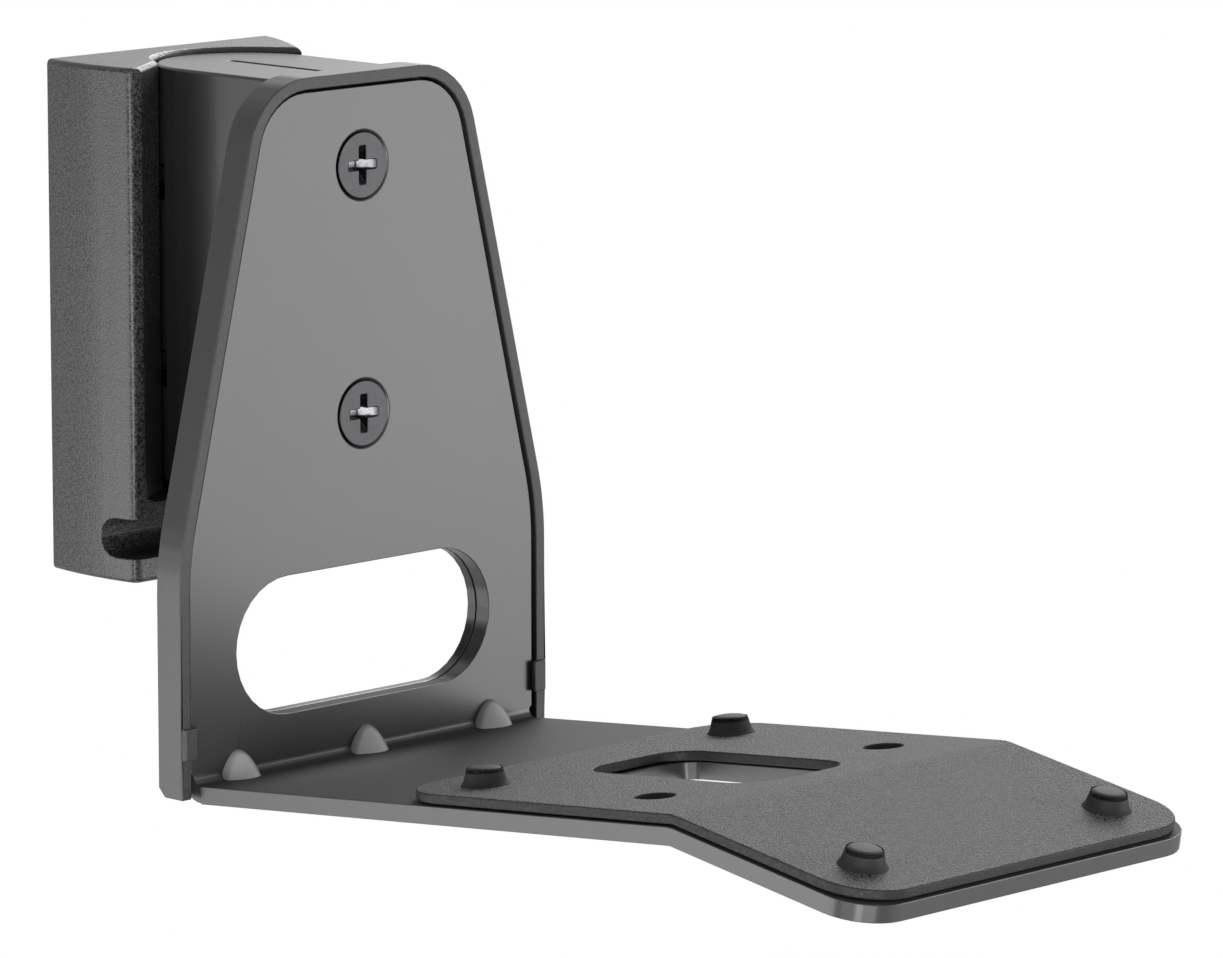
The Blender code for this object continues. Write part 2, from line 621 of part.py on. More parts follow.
def sheet_point(x, v, depth):
    """Fold a flat point. v is minus its station from the sheet's top edge, and depth goes into the steel."""
    station = -v
    bend_y, bend_z = PLATE_FRONT_Y - BEND_RADIUS, BEND_TOP
    if station <= BEND_START:
        return x, PLATE_FRONT_Y + depth, PLATE_TOP - station
    if station <= BEND_END:
        angle = (station - BEND_START) / BEND_RADIUS
        radius = BEND_RADIUS + depth
        return x, bend_y + radius * math.cos(angle), bend_z - radius * math.sin(angle)
    start_y = bend_y - BEND_RADIUS * math.sin(TRAY_RISE)
    start_z = bend_z - BEND_RADIUS * math.cos(TRAY_RISE)
    run = min(station, FOLD_START) - BEND_END
    y = start_y - run * math.cos(TRAY_RISE)
    z = start_z + run * math.sin(TRAY_RISE)
    lean = -TRAY_RISE
    if station > FOLD_START:
        lean = min((station - FOLD_START) / FOLD_OUTER, FOLD_ANGLE) - TRAY_RISE
        y += FOLD_OUTER * (math.sin(-TRAY_RISE) - math.sin(lean))
        z += FOLD_OUTER * (math.cos(lean) - math.cos(TRAY_RISE))
    if station > FOLD_END:
        y -= (station - FOLD_END) * math.cos(FRONT_DROP)
        z -= (station - FOLD_END) * math.sin(FRONT_DROP)
    return x, y + depth * math.sin(lean), z - depth * math.cos(lean)


def fold(name, flat, look_of):
    """Bend a finished flat piece along the sheet's path and return it as a new object."""
    mesh = finished_mesh(flat)
    hide(flat)
    bends = [BEND_START + (BEND_END - BEND_START) * k / 6 for k in range(7)]
    bends += [FOLD_START + (FOLD_END - FOLD_START) * k / 3 for k in range(4)]
    for station in bends:
        everything = mesh.verts[:] + mesh.edges[:] + mesh.faces[:]
        bmesh.ops.bisect_plane(mesh, geom=everything, dist=1e-7, plane_co=(0.0, -station, 0.0),
                               plane_no=(0.0, 1.0, 0.0))
    for vert in mesh.verts:
        vert.co = sheet_point(*vert.co)
    bmesh.ops.reverse_faces(mesh, faces=mesh.faces)
    return new_object(name, mesh, look_of)


def make_support_plate(steel):
    """Cut the flat sheet, fold it and press the gussets into the bend."""
    shoulder = SHOULDER_HEIGHT - UPRIGHT_LENGTH
    right = [(PLATE_HALF, -SHEET_END, FRONT_CORNER), (PLATE_HALF, -BEND_END - RELIEF_LENGTH, 0.0),
             (PLATE_HALF - RELIEF_WIDTH, -BEND_END, 0.0), (PLATE_HALF - RELIEF_WIDTH, -BEND_START, 0.0),
             (PLATE_HALF, RELIEF_LENGTH - BEND_START, 0.0), (PLATE_HALF, shoulder, SHOULDER_RADIUS),
             (PLATE_TOP_HALF, 0.0, PLATE_TOP_RADIUS)]
    flat = slab("flat_sheet", mirrored(right), "Z", 0.0, STEEL, corner_steps=ROUND_STEPS)
    opening = opening_outline(OPENING_Z - PLATE_TOP)
    cut(flat, slab("sheet_opening", opening, "Z", -STEEL, 2 * STEEL, corner_steps=ROUND_STEPS))
    for level, z in (("upper", SCREW_UPPER_Z), ("lower", SCREW_LOWER_Z)):
        hole = SCREW_RADIUS + GAP
        profile = [(SCREW_SEAT_RADIUS + STEEL, -STEEL), (hole, SCREW_SEAT_RADIUS - hole), (hole, 2 * STEEL)]
        cut(flat, turned("screw_seat_" + level, profile, (0.0, z - PLATE_TOP, 0.0), "Z"))
    cutout = grow(cutout_outline(), STEEL_CUTOUT_MARGIN)
    cut(flat, slab("sheet_cutout", cutout, "Z", -STEEL, 2 * STEEL))
    for side in (-1, 1):
        profile = [(TRAY_HOLE_RADIUS, -STEEL), (TRAY_HOLE_RADIUS, 2 * STEEL)]
        at = (side * TRAY_HOLE_X, -BEND_END - TRAY_HOLE_AT, 0.0)
        cut(flat, turned(f"sheet_hole_{side}", profile, at, "Z", steps=24))
    plate = fold("support_plate", flat, steel)
    for number in (-1, 0, 1):
        join(plate, gusset_cone(f"gusset_{number}", number * GUSSET_SPACING, 0.0, STEEL / 3))
        cut(plate, gusset_cone(f"gusset_dent_{number}", number * GUSSET_SPACING, STEEL, 2 * STEEL))
    return plate


def gusset_cone(name, x, shift, back):
    """Half cone standing in the bend's corner, or moved out through the sheet's thickness for the dent."""
    foot = sheet_point(0.0, -BEND_END, 0.0)[2]
    y, top = PLATE_FRONT_Y + shift, foot + GUSSET_HEIGHT - shift
    loops = []
    for drop in (0.04, 1.35):
        front = arc(x, y, GUSSET_RADIUS * drop, math.pi, 2 * math.pi, ROUND_STEPS)
        tail = [(x + GUSSET_RADIUS * drop, y + back), (x - GUSSET_RADIUS * drop, y + back)]
        loops.append([(u, v, top - GUSSET_HEIGHT * drop) for u, v in front + tail])
    return loft(name, loops)


def cutout_outline():
    """The pad's cut-out, in the flat sheet's coordinates."""
    back = -BEND_END - CUTOUT_START
    return rectangle(-CUTOUT_HALF_WIDTH, CUTOUT_HALF_WIDTH, back - CUTOUT_LENGTH, back, CUTOUT_CORNER)


def peg_profile(height):
    """Tapered peg with a flared foot and a broken top edge, standing on the pad."""
    base = -PAD_GAP - PAD_THICKNESS
    root = PEG_BASE_RADIUS - PEG_FOOT
    return [(PEG_BASE_RADIUS, base + PAD_THICKNESS / 2), (PEG_BASE_RADIUS, base),
            (root + 0.3 * PEG_FOOT, base - 0.3 * PEG_FOOT), (root, base - PEG_FOOT),
            (PEG_TOP_RADIUS, base - height + PEG_EDGE), (PEG_TOP_RADIUS - PEG_EDGE, base - height)]


def make_pad(rubber):
    """Moulded pad with its pegs, made flat and laid over the tray's fold."""
    half = PLATE_HALF - PAD_INSET
    back, front = -BEND_END - PAD_START, PAD_INSET - SHEET_END
    outline = mirrored([(half, front, FRONT_CORNER - PAD_INSET), (half, back, PAD_BACK_CORNER)])
    flat = slab("flat_pad", outline, "Z", -PAD_GAP - PAD_THICKNESS, -PAD_GAP, corner_steps=ROUND_STEPS)
    reach = 2 * PAD_THICKNESS
    cut(flat, slab("pad_cutout", cutout_outline(), "Z", -reach, reach))
    for side in (-1, 1):
        profile = [(TRAY_HOLE_RADIUS, -reach), (TRAY_HOLE_RADIUS, reach)]
        at = (side * TRAY_HOLE_X, -BEND_END - TRAY_HOLE_AT, 0.0)
        cut(flat, turned(f"pad_hole_{side}", profile, at, "Z", steps=24))
        for row, station, height in (("back", BEND_END + PEG_BACK_AT, PEG_BACK_HEIGHT),
                                     ("front", FOLD_END + PEG_FRONT_AT, PEG_FRONT_HEIGHT)):
            at = (side * PEG_X, -station, 0.0)
            join(flat, turned(f"peg_{row}_{side}", peg_profile(height), at, "Z", steps=24))
    return fold("pad", flat, rubber)


def make_plate_screws(zinc, brass):
    """Countersunk screws with a cross recess, and the inserts that they turn into."""
    pieces = []
    for level, z in (("upper", SCREW_UPPER_Z), ("lower", SCREW_LOWER_Z)):
        land = GAP
        cone = SCREW_HEAD_RADIUS + land - SCREW_RADIUS
        face = PLATE_FRONT_Y + GAP / 3
        profile = [(SCREW_HEAD_RADIUS - GAP / 2, 0.0), (SCREW_HEAD_RADIUS, GAP / 2), (SCREW_HEAD_RADIUS, land),
                   (SCREW_RADIUS, cone), (SCREW_RADIUS, SCREW_LENGTH - GAP), (SCREW_RADIUS - GAP, SCREW_LENGTH)]
        screw = turned("plate_screw_" + level, profile, (0.0, face, z), "Y", zinc)
        for name, length, height in (("across", CROSS_HALF_LENGTH, CROSS_HALF_WIDTH),
                                     ("upright", CROSS_HALF_WIDTH, CROSS_HALF_LENGTH)):
            slot = rectangle(-length, length, z - height, z + height)
            cut(screw, slab(f"cross_{name}_{level}", slot, "Y", face - CROSS_DEPTH, face + CROSS_DEPTH))
        inner, front = SCREW_RADIUS + GAP, SHELL_FRONT_Y + GAP
        back = front + INSERT_LENGTH
        profile = [(inner, front), (INSERT_RADIUS, front), (INSERT_RADIUS, back), (inner, back)]
        insert = turned("insert_" + level, profile, (0.0, 0.0, z), "Y", brass, ring=True)
        pieces += [screw, insert]
    return pieces


def ring_piece(name, inner, outer, low, high, look_of):
    """A plain ring about the pivot axis."""
    profile = [(inner, low), (outer, low), (outer, high), (inner, high)]
    return turned(name, profile, (0.0, PIVOT_Y, 0.0), "Z", look_of, ring=True)


def make_pivot(zinc, nylon, spring_steel):
    """Bolt, spring, nut, friction washers and bushes on the swivel's axis."""
    axis = (0.0, PIVOT_Y, 0.0)
    low, top = BOLT_HEAD_LOW, BOLT_HEAD_LOW + BOLT_HEAD_HEIGHT
    profile = [(BOLT_HEAD_RADIUS - GAP, low), (BOLT_HEAD_RADIUS, low + GAP), (BOLT_HEAD_RADIUS, top),
               (BOLT_RADIUS, top), (BOLT_RADIUS, BOLT_TOP - GAP), (BOLT_RADIUS - GAP, BOLT_TOP)]
    bolt = turned("pivot_bolt", profile, axis, "Z", zinc)
    across = BOLT_SOCKET_RADIUS / math.cos(math.pi / 6)
    profile = [(across, low - GAP), (across, low + BOLT_HEAD_HEIGHT / 2)]
    cut(bolt, turned("bolt_socket", profile, axis, "Z", steps=6))

    seat = top + GAP
    rise = SPRING_HEIGHT / 2
    profile = [(BOLT_BORE, seat + rise), (BOLT_HEAD_RADIUS - GAP, seat), (BOLT_HEAD_RADIUS - GAP, seat + rise),
               (BOLT_BORE, seat + SPRING_HEIGHT)]
    spring = turned("pivot_spring", profile, axis, "Z", spring_steel, ring=True)

    edge = NUT_HALF
    outline = rectangle(-edge, edge, PIVOT_Y - edge, PIVOT_Y + edge, 0.0006)
    nut = slab("pivot_nut", outline, "Z", NUT_TOP - NUT_HEIGHT, NUT_TOP, zinc)
    profile = [(BOLT_BORE, NUT_TOP - 2 * NUT_HEIGHT), (BOLT_BORE, NUT_TOP + NUT_HEIGHT)]
    cut(nut, turned("nut_bore", profile, axis, "Z"))

    fixed, moving = [], [bolt, spring, nut]
    for level, z in TAB_LEVELS.items():
        half = TAB_THICKNESS / 2
        fixed.append(ring_piece("tab_bush_" + level, BOLT_BORE, BUSH_RADIUS, z - half, z + half, nylon))
        for side, centre in (("under", z - WASHER_LEVEL), ("over", z + WASHER_LEVEL)):
            name = f"friction_washer_{side}_{level}"
            half_washer = WASHER_THICKNESS / 2
            low, high = centre - half_washer, centre + half_washer
            moving.append(ring_piece(name, BOLT_BORE, WASHER_RADIUS, low, high, nylon))
    return fixed, moving


def make_cover_screws(zinc):
    """Small countersunk screws up through the cover's underside into the lip."""
    pieces = []
    for side, x in (("left", -LOCK_X), ("right", LOCK_X)):
        face = GAP / 2 - COVER_HEIGHT / 2
        cone = LOCK_HEAD_RADIUS - LOCK_RADIUS
        profile = [(LOCK_HEAD_RADIUS, 0.0), (LOCK_RADIUS, cone), (LOCK_RADIUS, LOCK_LENGTH)]
        pieces.append(turned("cover_screw_" + side, profile, (x, -LOCK_FROM_WALL, face), "Z", zinc, steps=20))
    return pieces


def hang_on(parent_name, centre, pieces):
    """Parent pieces to an empty on their joint's axis, leaving them in place."""
    parent = bpy.data.objects.new(parent_name, None)
    parent.location = centre
    bpy.context.collection.objects.link(parent)
    for piece in pieces:
        piece.parent = parent
        piece.matrix_parent_inverse = Matrix.Translation(centre).inverted()


def main():
    for old in list(bpy.data.objects):
        bpy.data.objects.remove(old)
    textured_plastic = look("moulded_plastic_textured", (0.020, 0.020, 0.021), 0.55)
    smooth_plastic = look("moulded_plastic_smooth", (0.018, 0.018, 0.019), 0.38)
    coated_steel = look("powder_coated_steel", (0.022, 0.022, 0.023), 0.42)
    rubber = look("moulded_rubber", (0.016, 0.016, 0.016), 0.75)
    black_zinc = look("black_zinc_steel", (0.035, 0.035, 0.037), 0.35, 0.8)
    zinc = look("zinc_plated_steel", (0.55, 0.56, 0.58), 0.30, 1.0)
    brass = look("brass", (0.60, 0.42, 0.16), 0.35, 1.0)
    nylon = look("nylon", (0.70, 0.68, 0.62), 0.50)

    make_wall_cover(textured_plastic)
    make_wall_plate(coated_steel)
    make_cover_screws(black_zinc)
    bushes, pivot = make_pivot(zinc, nylon, zinc)
    arm = [make_arm_shell(smooth_plastic), make_support_plate(coated_steel), make_pad(rubber)]
    arm += make_plate_screws(black_zinc, brass)
    hang_on("swivel_axis", (0.0, PIVOT_Y, 0.0), arm + pivot)


main()
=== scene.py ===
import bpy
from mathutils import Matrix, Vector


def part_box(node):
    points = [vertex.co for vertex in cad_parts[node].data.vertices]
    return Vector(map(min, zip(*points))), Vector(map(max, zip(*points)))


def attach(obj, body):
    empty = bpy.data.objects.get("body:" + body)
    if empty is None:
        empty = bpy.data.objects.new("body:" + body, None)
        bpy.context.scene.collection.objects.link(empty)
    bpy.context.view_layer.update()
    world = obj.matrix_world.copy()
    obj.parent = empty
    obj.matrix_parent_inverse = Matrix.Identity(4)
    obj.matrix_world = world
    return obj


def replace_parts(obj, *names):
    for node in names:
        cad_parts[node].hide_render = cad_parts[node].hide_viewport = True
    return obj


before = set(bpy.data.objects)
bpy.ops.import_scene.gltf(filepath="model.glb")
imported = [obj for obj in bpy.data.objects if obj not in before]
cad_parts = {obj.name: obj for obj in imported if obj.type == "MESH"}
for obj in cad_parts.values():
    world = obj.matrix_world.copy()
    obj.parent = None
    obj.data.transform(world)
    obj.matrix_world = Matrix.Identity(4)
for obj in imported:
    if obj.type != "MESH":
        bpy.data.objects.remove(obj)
"""Finishes of the speaker wall bracket, around its packed solids.

Lengths are in millimetres in the settings and in metres in the scene. The wall is the plane Y = 0,
the bracket reaches out along -Y, Z is up and X runs along the wall.
"""
import math

import bmesh
import bpy
from mathutils import Matrix, Vector

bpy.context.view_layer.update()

bl_info = {
    "name": "Speaker wall bracket finishes",
    "version": (1, 0, 0),
    "blender": (4, 5, 0),
    "location": "3D View > Sidebar > Bracket",
    "description": "Dresses the bracket's solids with edges, fasteners, rubber and surface finishes",
    "category": "Object",
}

MM = 0.001
FIXED, MOVING = "wall_box", "swivel_arm"

# Points this close, in metres, are one point: first of a CAD solid, then at the seams of a rule-made piece.
SOLID_WELD = 0.001 * MM
SEAM_WELD = 0.002 * MM

# Triangles of a CAD solid that turn less than this from one to the next are one flat face.
FLAT_ANGLE = math.radians(0.3)


# ---- shared helpers

def srgb(code):
    """Turn an sRGB hex value into a linear colour."""
    channels = [int(code[k:k + 2], 16) / 255 for k in (1, 3, 5)]
    return [c / 12.92 if c <= 0.04045 else ((c + 0.055) / 1.055) ** 2.4 for c in channels] + [1.0]


def add_node(tree, kind, settings=(), inputs=()):
    """Add a node with its settings. An input takes a value, an output, or a node for its first output."""
    made = tree.nodes.new(kind)
    for name, value in dict(settings).items():
        setattr(made, name, value)
    for key, value in dict(inputs).items():
        if isinstance(value, bpy.types.Node):
            value = value.outputs[0]
        if isinstance(value, bpy.types.NodeSocket):
            tree.links.new(value, made.inputs[key])
        else:
            made.inputs[key].default_value = value
    return made


def work_out(tree, formula):
    """Add the nodes of a formula: (operation, operand, operand), where an operand may be a formula too."""
    if not isinstance(formula, tuple):
        return formula
    operation, *operands = formula
    values = {index: work_out(tree, operand) for index, operand in enumerate(operands)}
    return add_node(tree, "ShaderNodeMath", {"operation": operation}, values).outputs[0]


def new_piece(name, mesh, material, body):
    """Make a smooth-shaded object of a bmesh, with its finish and the body that carries it."""
    data = bpy.data.meshes.new(name)
    mesh.to_mesh(data)
    mesh.free()
    data.shade_smooth()
    data.materials.append(material)
    piece = bpy.data.objects.new(name, data)
    bpy.context.scene.collection.objects.link(piece)
    piece["carried_by"] = body
    return piece


def settle(piece):
    """Turn a piece and its modifiers into a plain mesh and let it ride on its body."""
    bpy.context.view_layer.update()
    evaluated = piece.evaluated_get(bpy.context.evaluated_depsgraph_get())
    data = bpy.data.meshes.new_from_object(evaluated)
    data.name = piece.name
    piece.modifiers.clear()
    piece.data = data
    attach(piece, piece["carried_by"])
    del piece["carried_by"]
    return piece


def round_creases(piece, width, segments, angle):
    """Bevel the creases that are sharper than an angle in degrees. The width is in the mesh's own unit."""
    bevel = piece.modifiers.new("edge rounding", "BEVEL")
    bevel.width = width
    bevel.segments = segments
    bevel.limit_method = "ANGLE"
    bevel.angle_limit = math.radians(angle)
    bevel.use_clamp_overlap = False
    return bevel


def soften_edges(piece, width):
    """Round the creases of a whole part by a width in mm and keep its flats flat."""
    bevel = round_creases(piece, width * MM, segments=2, angle=28)
    bevel.loop_slide = False
    bevel.miter_outer = "MITER_ARC"
    keep_flats(piece)


def keep_flats(piece):
    """Let the largest faces set the normals, so that a flat reflects as a flat up to its rounding."""
    weight = piece.modifiers.new("flat faces", "WEIGHTED_NORMAL")
    weight.mode = "FACE_AREA"
    weight.weight = 100
    weight.thresh = 0.0


def copy_of_node(node, name, material, body):
    """Copy a CAD solid, with its loose triangles merged back into whole convex faces."""
    mesh = bmesh.new()
    mesh.from_mesh(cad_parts[node].data)
    bmesh.ops.remove_doubles(mesh, verts=mesh.verts, dist=SOLID_WELD)
    bmesh.ops.dissolve_limit(mesh, angle_limit=FLAT_ANGLE, verts=mesh.verts, edges=mesh.edges)
    bmesh.ops.connect_verts_concave(mesh, faces=mesh.faces[:])
    return new_piece(name, mesh, material, body)


# ---- settings

def hex_colour(name, surface, code):
    """A colour in the panel, as an sRGB hex value."""
    return bpy.props.StringProperty(name=name, description="sRGB colour of the " + surface, default=code)


def millimetres(name, description, default, **limits):
    """A size in the panel, in mm."""
    return bpy.props.FloatProperty(name=name, description=description + ", in mm", default=default, **limits)


def angle(name, description, degrees):
    """An angle in the panel, given here in degrees."""
    return bpy.props.FloatProperty(name=name, description=description, subtype="ANGLE",
                                   default=math.radians(degrees))


class FinishSettings(bpy.types.PropertyGroup):
    """Colours of the finishes and how round the edges are."""
    cover_black: hex_colour("Cover black", "moulded wall cover", "#222223")
    arm_black: hex_colour("Arm black", "moulded arm", "#1e1e1f")
    coat_black: hex_colour("Coat black", "powder-coated steel", "#232324")
    # The gussets' pale grey is a painted highlight.
    gusset_painted_highlight: hex_colour("Gusset painted highlight", "coat on the gussets", "#88888a")
    rubber_black: hex_colour("Rubber black", "pad", "#484848")
    peg_black: hex_colour("Peg black", "pegs", "#1e1e1e")
    moulded_edge: millimetres("Moulded edge", "Rounding of moulded edges", 0.22, min=0.05, max=1.0)
    steel_edge: millimetres("Steel edge", "Rounding of cut steel edges", 0.16, min=0.05, max=1.0)
    wall_plate_edge: millimetres("Wall plate edge", "Rounding of the wall plate", 0.2, min=0.05, max=1.0)
    fastener_edge: millimetres("Fastener edge", "Rounding of turned parts", 0.15, min=0.02, max=0.5)


class PadSettings(bpy.types.PropertyGroup):
    """Sizes of the rubber pad and its pegs, in mm. Stations run down the sheet from its bend."""
    thickness: millimetres("Thickness", "Thickness of the pad", 1.7)
    gap: millimetres("Gap", "Glue line between pad and steel", 0.3)
    edge: millimetres("Edge", "Rounding of the pad's edges", 0.35)
    inset: millimetres("Inset", "Steel left bare round the pad", 0.5)
    front_corner: millimetres("Front corner", "Radius of the front corners", 10.0)
    back_corner: millimetres("Back corner", "Radius of the back corners", 10.0)
    start: millimetres("Start", "Station of the back edge", 45.7)
    cutout_half_width: millimetres("Cut-out half width", "Half of the width of the cut-out", 11.9)
    cutout_start: millimetres("Cut-out start", "Station of the cut-out's back edge", 61.0)
    cutout_length: millimetres("Cut-out length", "Length of the cut-out", 39.7)
    cutout_corner: millimetres("Cut-out corner", "Radius of its corners", 6.3)
    hole_radius: millimetres("Hole radius", "Radius of the screw holes", 3.3)
    hole_x: millimetres("Hole offset", "Screw holes from the middle", 26.9)
    hole_at: millimetres("Hole station", "Station of the screw holes", 93.1)
    peg_x: millimetres("Peg offset", "Pegs from the middle", 28.9)
    peg_back_at: millimetres("Back pegs", "Station of the back pegs", 56.9)
    peg_front_at: millimetres("Front pegs", "Front pegs, from the fold's far side", 29.8)
    peg_foot: millimetres("Peg foot radius", "Radius at the foot", 4.3)
    peg_flare: millimetres("Peg flare", "What the flare adds to the radius at the foot", 0.45)
    peg_top: millimetres("Peg top radius", "Radius at the top", 2.9)
    peg_back_height: millimetres("Back height", "Height of the back pegs", 3.0)
    peg_front_height: millimetres("Front height", "Height of the front pegs", 3.0)
    peg_edge: millimetres("Peg edge", "Rounding of the pegs' tops", 0.9)


class SlitSettings(bpy.types.PropertyGroup):
    """Sizes of the slit on the arm's top, in mm."""
    width: millimetres("Width", "Width of the slit", 1.3)
    depth: millimetres("Depth", "Depth of the slit", 2.0)
    start: millimetres("Start", "End near the wall, out from the wall", 18.3)
    end: millimetres("End", "End near the shell, out from the wall", 44.3)
    top: millimetres("Top", "Height of the arm's top", 43.1)


class SheetSettings(bpy.types.PropertyGroup):
    """Form of the folded steel sheet that the pad follows, in mm."""
    steel: millimetres("Steel", "Thickness of the sheet", 3.0)
    half_width: millimetres("Half width", "Half of the tray's width", 40.1)
    front: millimetres("Front face", "Upright's front face, out from the wall", 50.8)
    bend_top: millimetres("Bend top", "Height at which the upright starts to bend", -70.7)
    bend_radius: millimetres("Bend radius", "Inner radius of the bend", 1.5)
    fold_radius: millimetres("Fold radius", "Inner radius of the fold", 3.0)
    rise: angle("Rise", "Slope of the tray up from the bend", 5.15)
    drop: angle("Drop", "Slope of the front part down", 9.45)
    tray_length: millimetres("Tray length", "Straight part up to the fold", 108.1)
    front_length: millimetres("Front length", "Straight part after the fold", 41.1)


class FastenerSettings(bpy.types.PropertyGroup):
    """Sizes of the screws and of the pressed gussets, in mm."""
    head_radius: millimetres("Head radius", "Plate screw's head", 5.6)
    shank_radius: millimetres("Shank radius", "Plate screw's shank", 3.0)
    length: millimetres("Length", "Plate screw's length", 12.0)
    land: millimetres("Land", "Straight rim of the plate screw's head", 0.3)
    proud: millimetres("Proud", "Plate screw's head, out of the upright's face", 0.1)
    cross_length: millimetres("Cross length", "Cross recess, end to end", 6.6)
    cross_width: millimetres("Cross width", "Width of its slots", 1.6)
    cross_depth: millimetres("Cross depth", "Depth of its slots", 2.7)
    upper: millimetres("Upper screw", "Height of the upper screw", 28.0)
    spacing: millimetres("Spacing", "Between the two plate screws", 42.2)
    cover_head: millimetres("Cover screw head", "Its head's radius", 2.8)
    cover_shank: millimetres("Cover screw shank", "Its shank's radius", 1.5)
    cover_length: millimetres("Cover screw length", "Its length", 5.5)
    cover_land: millimetres("Cover screw land", "Straight rim of its head", 0.1)
    gusset_half_width: millimetres("Gusset half width", "Half of its foot", 4.0)
    gusset_reach: millimetres("Gusset reach", "How far it runs out", 4.0)
    gusset_height: millimetres("Gusset height", "Its height over the tray", 4.5)
    gusset_root: millimetres("Gusset root", "How deep it goes into the bend", 0.8)
    gusset_spacing: millimetres("Gusset spacing", "From one to the next", 29.7)


class StudioSettings(bpy.types.PropertyGroup):
    """Camera, floor and lights."""
    azimuth: angle("Azimuth", "Camera's turn round the bracket", -45.734)
    elevation: angle("Elevation", "Camera's height above the horizon", 9.694)
    lens: millimetres("Lens", "Focal length for a 36 mm sensor", 214.18)
    distance: bpy.props.FloatProperty(name="Distance", description="Camera to the point it is aimed at",
                                      subtype="DISTANCE", default=1.222)
    floor_drop: bpy.props.FloatProperty(name="Floor drop", description="Floor below the bracket's origin",
                                        subtype="DISTANCE", default=0.45)
    ambient: bpy.props.FloatProperty(name="Ambient", description="Strength of the even light", default=0.4)
    lamps: bpy.props.FloatProperty(name="Lamps", description="Factor on every soft box", default=1.0)


# ---- finishes

def new_finish(name, code, plain):
    """A material in one colour with its shader's plain values, ready for its pattern."""
    material = bpy.data.materials.new(name)
    material.use_nodes = True
    material.diffuse_color = srgb(code)
    shader = material.node_tree.nodes["Principled BSDF"]
    for socket, value in {"Base Color": srgb(code), **plain}.items():
        shader.inputs[socket].default_value = value
    return material, material.node_tree, shader


def grain(tree, size, detail=2.0, stretch=(1.0, 1.0, 1.0)):
    """Noise whose bumps measure size, in mm, on the piece's own coordinates."""
    where = add_node(tree, "ShaderNodeTexCoord").outputs["Object"]
    turned = add_node(tree, "ShaderNodeMapping", inputs={"Vector": where, "Scale": stretch})
    noise = add_node(tree, "ShaderNodeTexNoise", inputs={
        "Vector": turned, "Scale": 1.0 / (size * MM), "Detail": detail, "Roughness": 0.6})
    return noise.outputs["Fac"]


def ramp_along(tree, vector, axis, low, high, start=0.0, end=1.0):
    """A value that runs from start to end while one axis of a vector runs from low to high."""
    place = add_node(tree, "ShaderNodeSeparateXYZ", inputs={"Vector": vector}).outputs[axis]
    return add_node(tree, "ShaderNodeMapRange", inputs={
        "Value": place, "From Min": low, "From Max": high, "To Min": start, "To Max": end}).outputs["Result"]


def out_from_wall(tree, near, far):
    """0 at one distance from the wall and 1 at another, both in mm, for what changes with depth."""
    where = add_node(tree, "ShaderNodeTexCoord").outputs["Object"]
    return ramp_along(tree, where, "Y", -near * MM, -far * MM)


def level_face(tree, low, high, start=0.0, end=1.0):
    """A value that runs from start on sloping faces to end on level ones."""
    facing = add_node(tree, "ShaderNodeNewGeometry").outputs["True Normal"]
    return ramp_along(tree, facing, "Z", low, high, start, end)


def speckle(tree, shader, code, fac, spread, soft=0.2):
    """Let the colour vary with the grain, darker in its pits. A small soft gives hard-edged specks."""
    colour = srgb(code)
    ramp = add_node(tree, "ShaderNodeValToRGB", inputs={"Fac": fac})
    for stop, side in zip(ramp.color_ramp.elements, (-1, 1)):
        stop.position = 0.5 + side * soft
        stop.color = [c * (1 + side * spread) for c in colour[:3]] + [1.0]
    tree.links.new(ramp.outputs["Color"], shader.inputs["Base Color"])
    return ramp.outputs["Color"]


def change_colour(tree, shader, share, first, second):
    """Let the colour go from the first to the second with a share."""
    mixed = add_node(tree, "ShaderNodeMix", {"data_type": "RGBA"}, {"Factor": share, 6: first, 7: second})
    tree.links.new(mixed.outputs[2], shader.inputs["Base Color"])
    return mixed.outputs[2]


def roughen(tree, shader, fac, low, high, span=(0.3, 0.7)):
    """Let the roughness vary from low to high while the grain or a share goes through its span."""
    varied = add_node(tree, "ShaderNodeMapRange", inputs={
        "Value": fac, "From Min": span[0], "From Max": span[1], "To Min": low, "To Max": high})
    tree.links.new(varied.outputs["Result"], shader.inputs["Roughness"])


def emboss(tree, shader, fac, depth, strength):
    """Raise the surface with the grain, by a depth in mm."""
    bump = add_node(tree, "ShaderNodeBump", inputs={
        "Height": fac, "Distance": depth * MM, "Strength": strength})
    tree.links.new(bump.outputs["Normal"], shader.inputs["Normal"])


def spark_eroded_abs(code):
    """ABS from a spark-eroded mould: a fine even grain that breaks its reflections into soft speckle."""
    material, tree, shader = new_finish("spark_eroded_abs", code, {"IOR": 1.54, "Specular IOR Level": 0.3})
    # The mould's real grain is about 0.1 mm. It is drawn at 0.4 mm so that it shows.
    fac = grain(tree, 0.4, detail=1.0)
    speckle(tree, shader, code, fac, spread=0.75, soft=0.12)
    roughen(tree, shader, fac, low=0.34, high=0.52)
    emboss(tree, shader, fac, depth=0.12, strength=0.5)
    return material


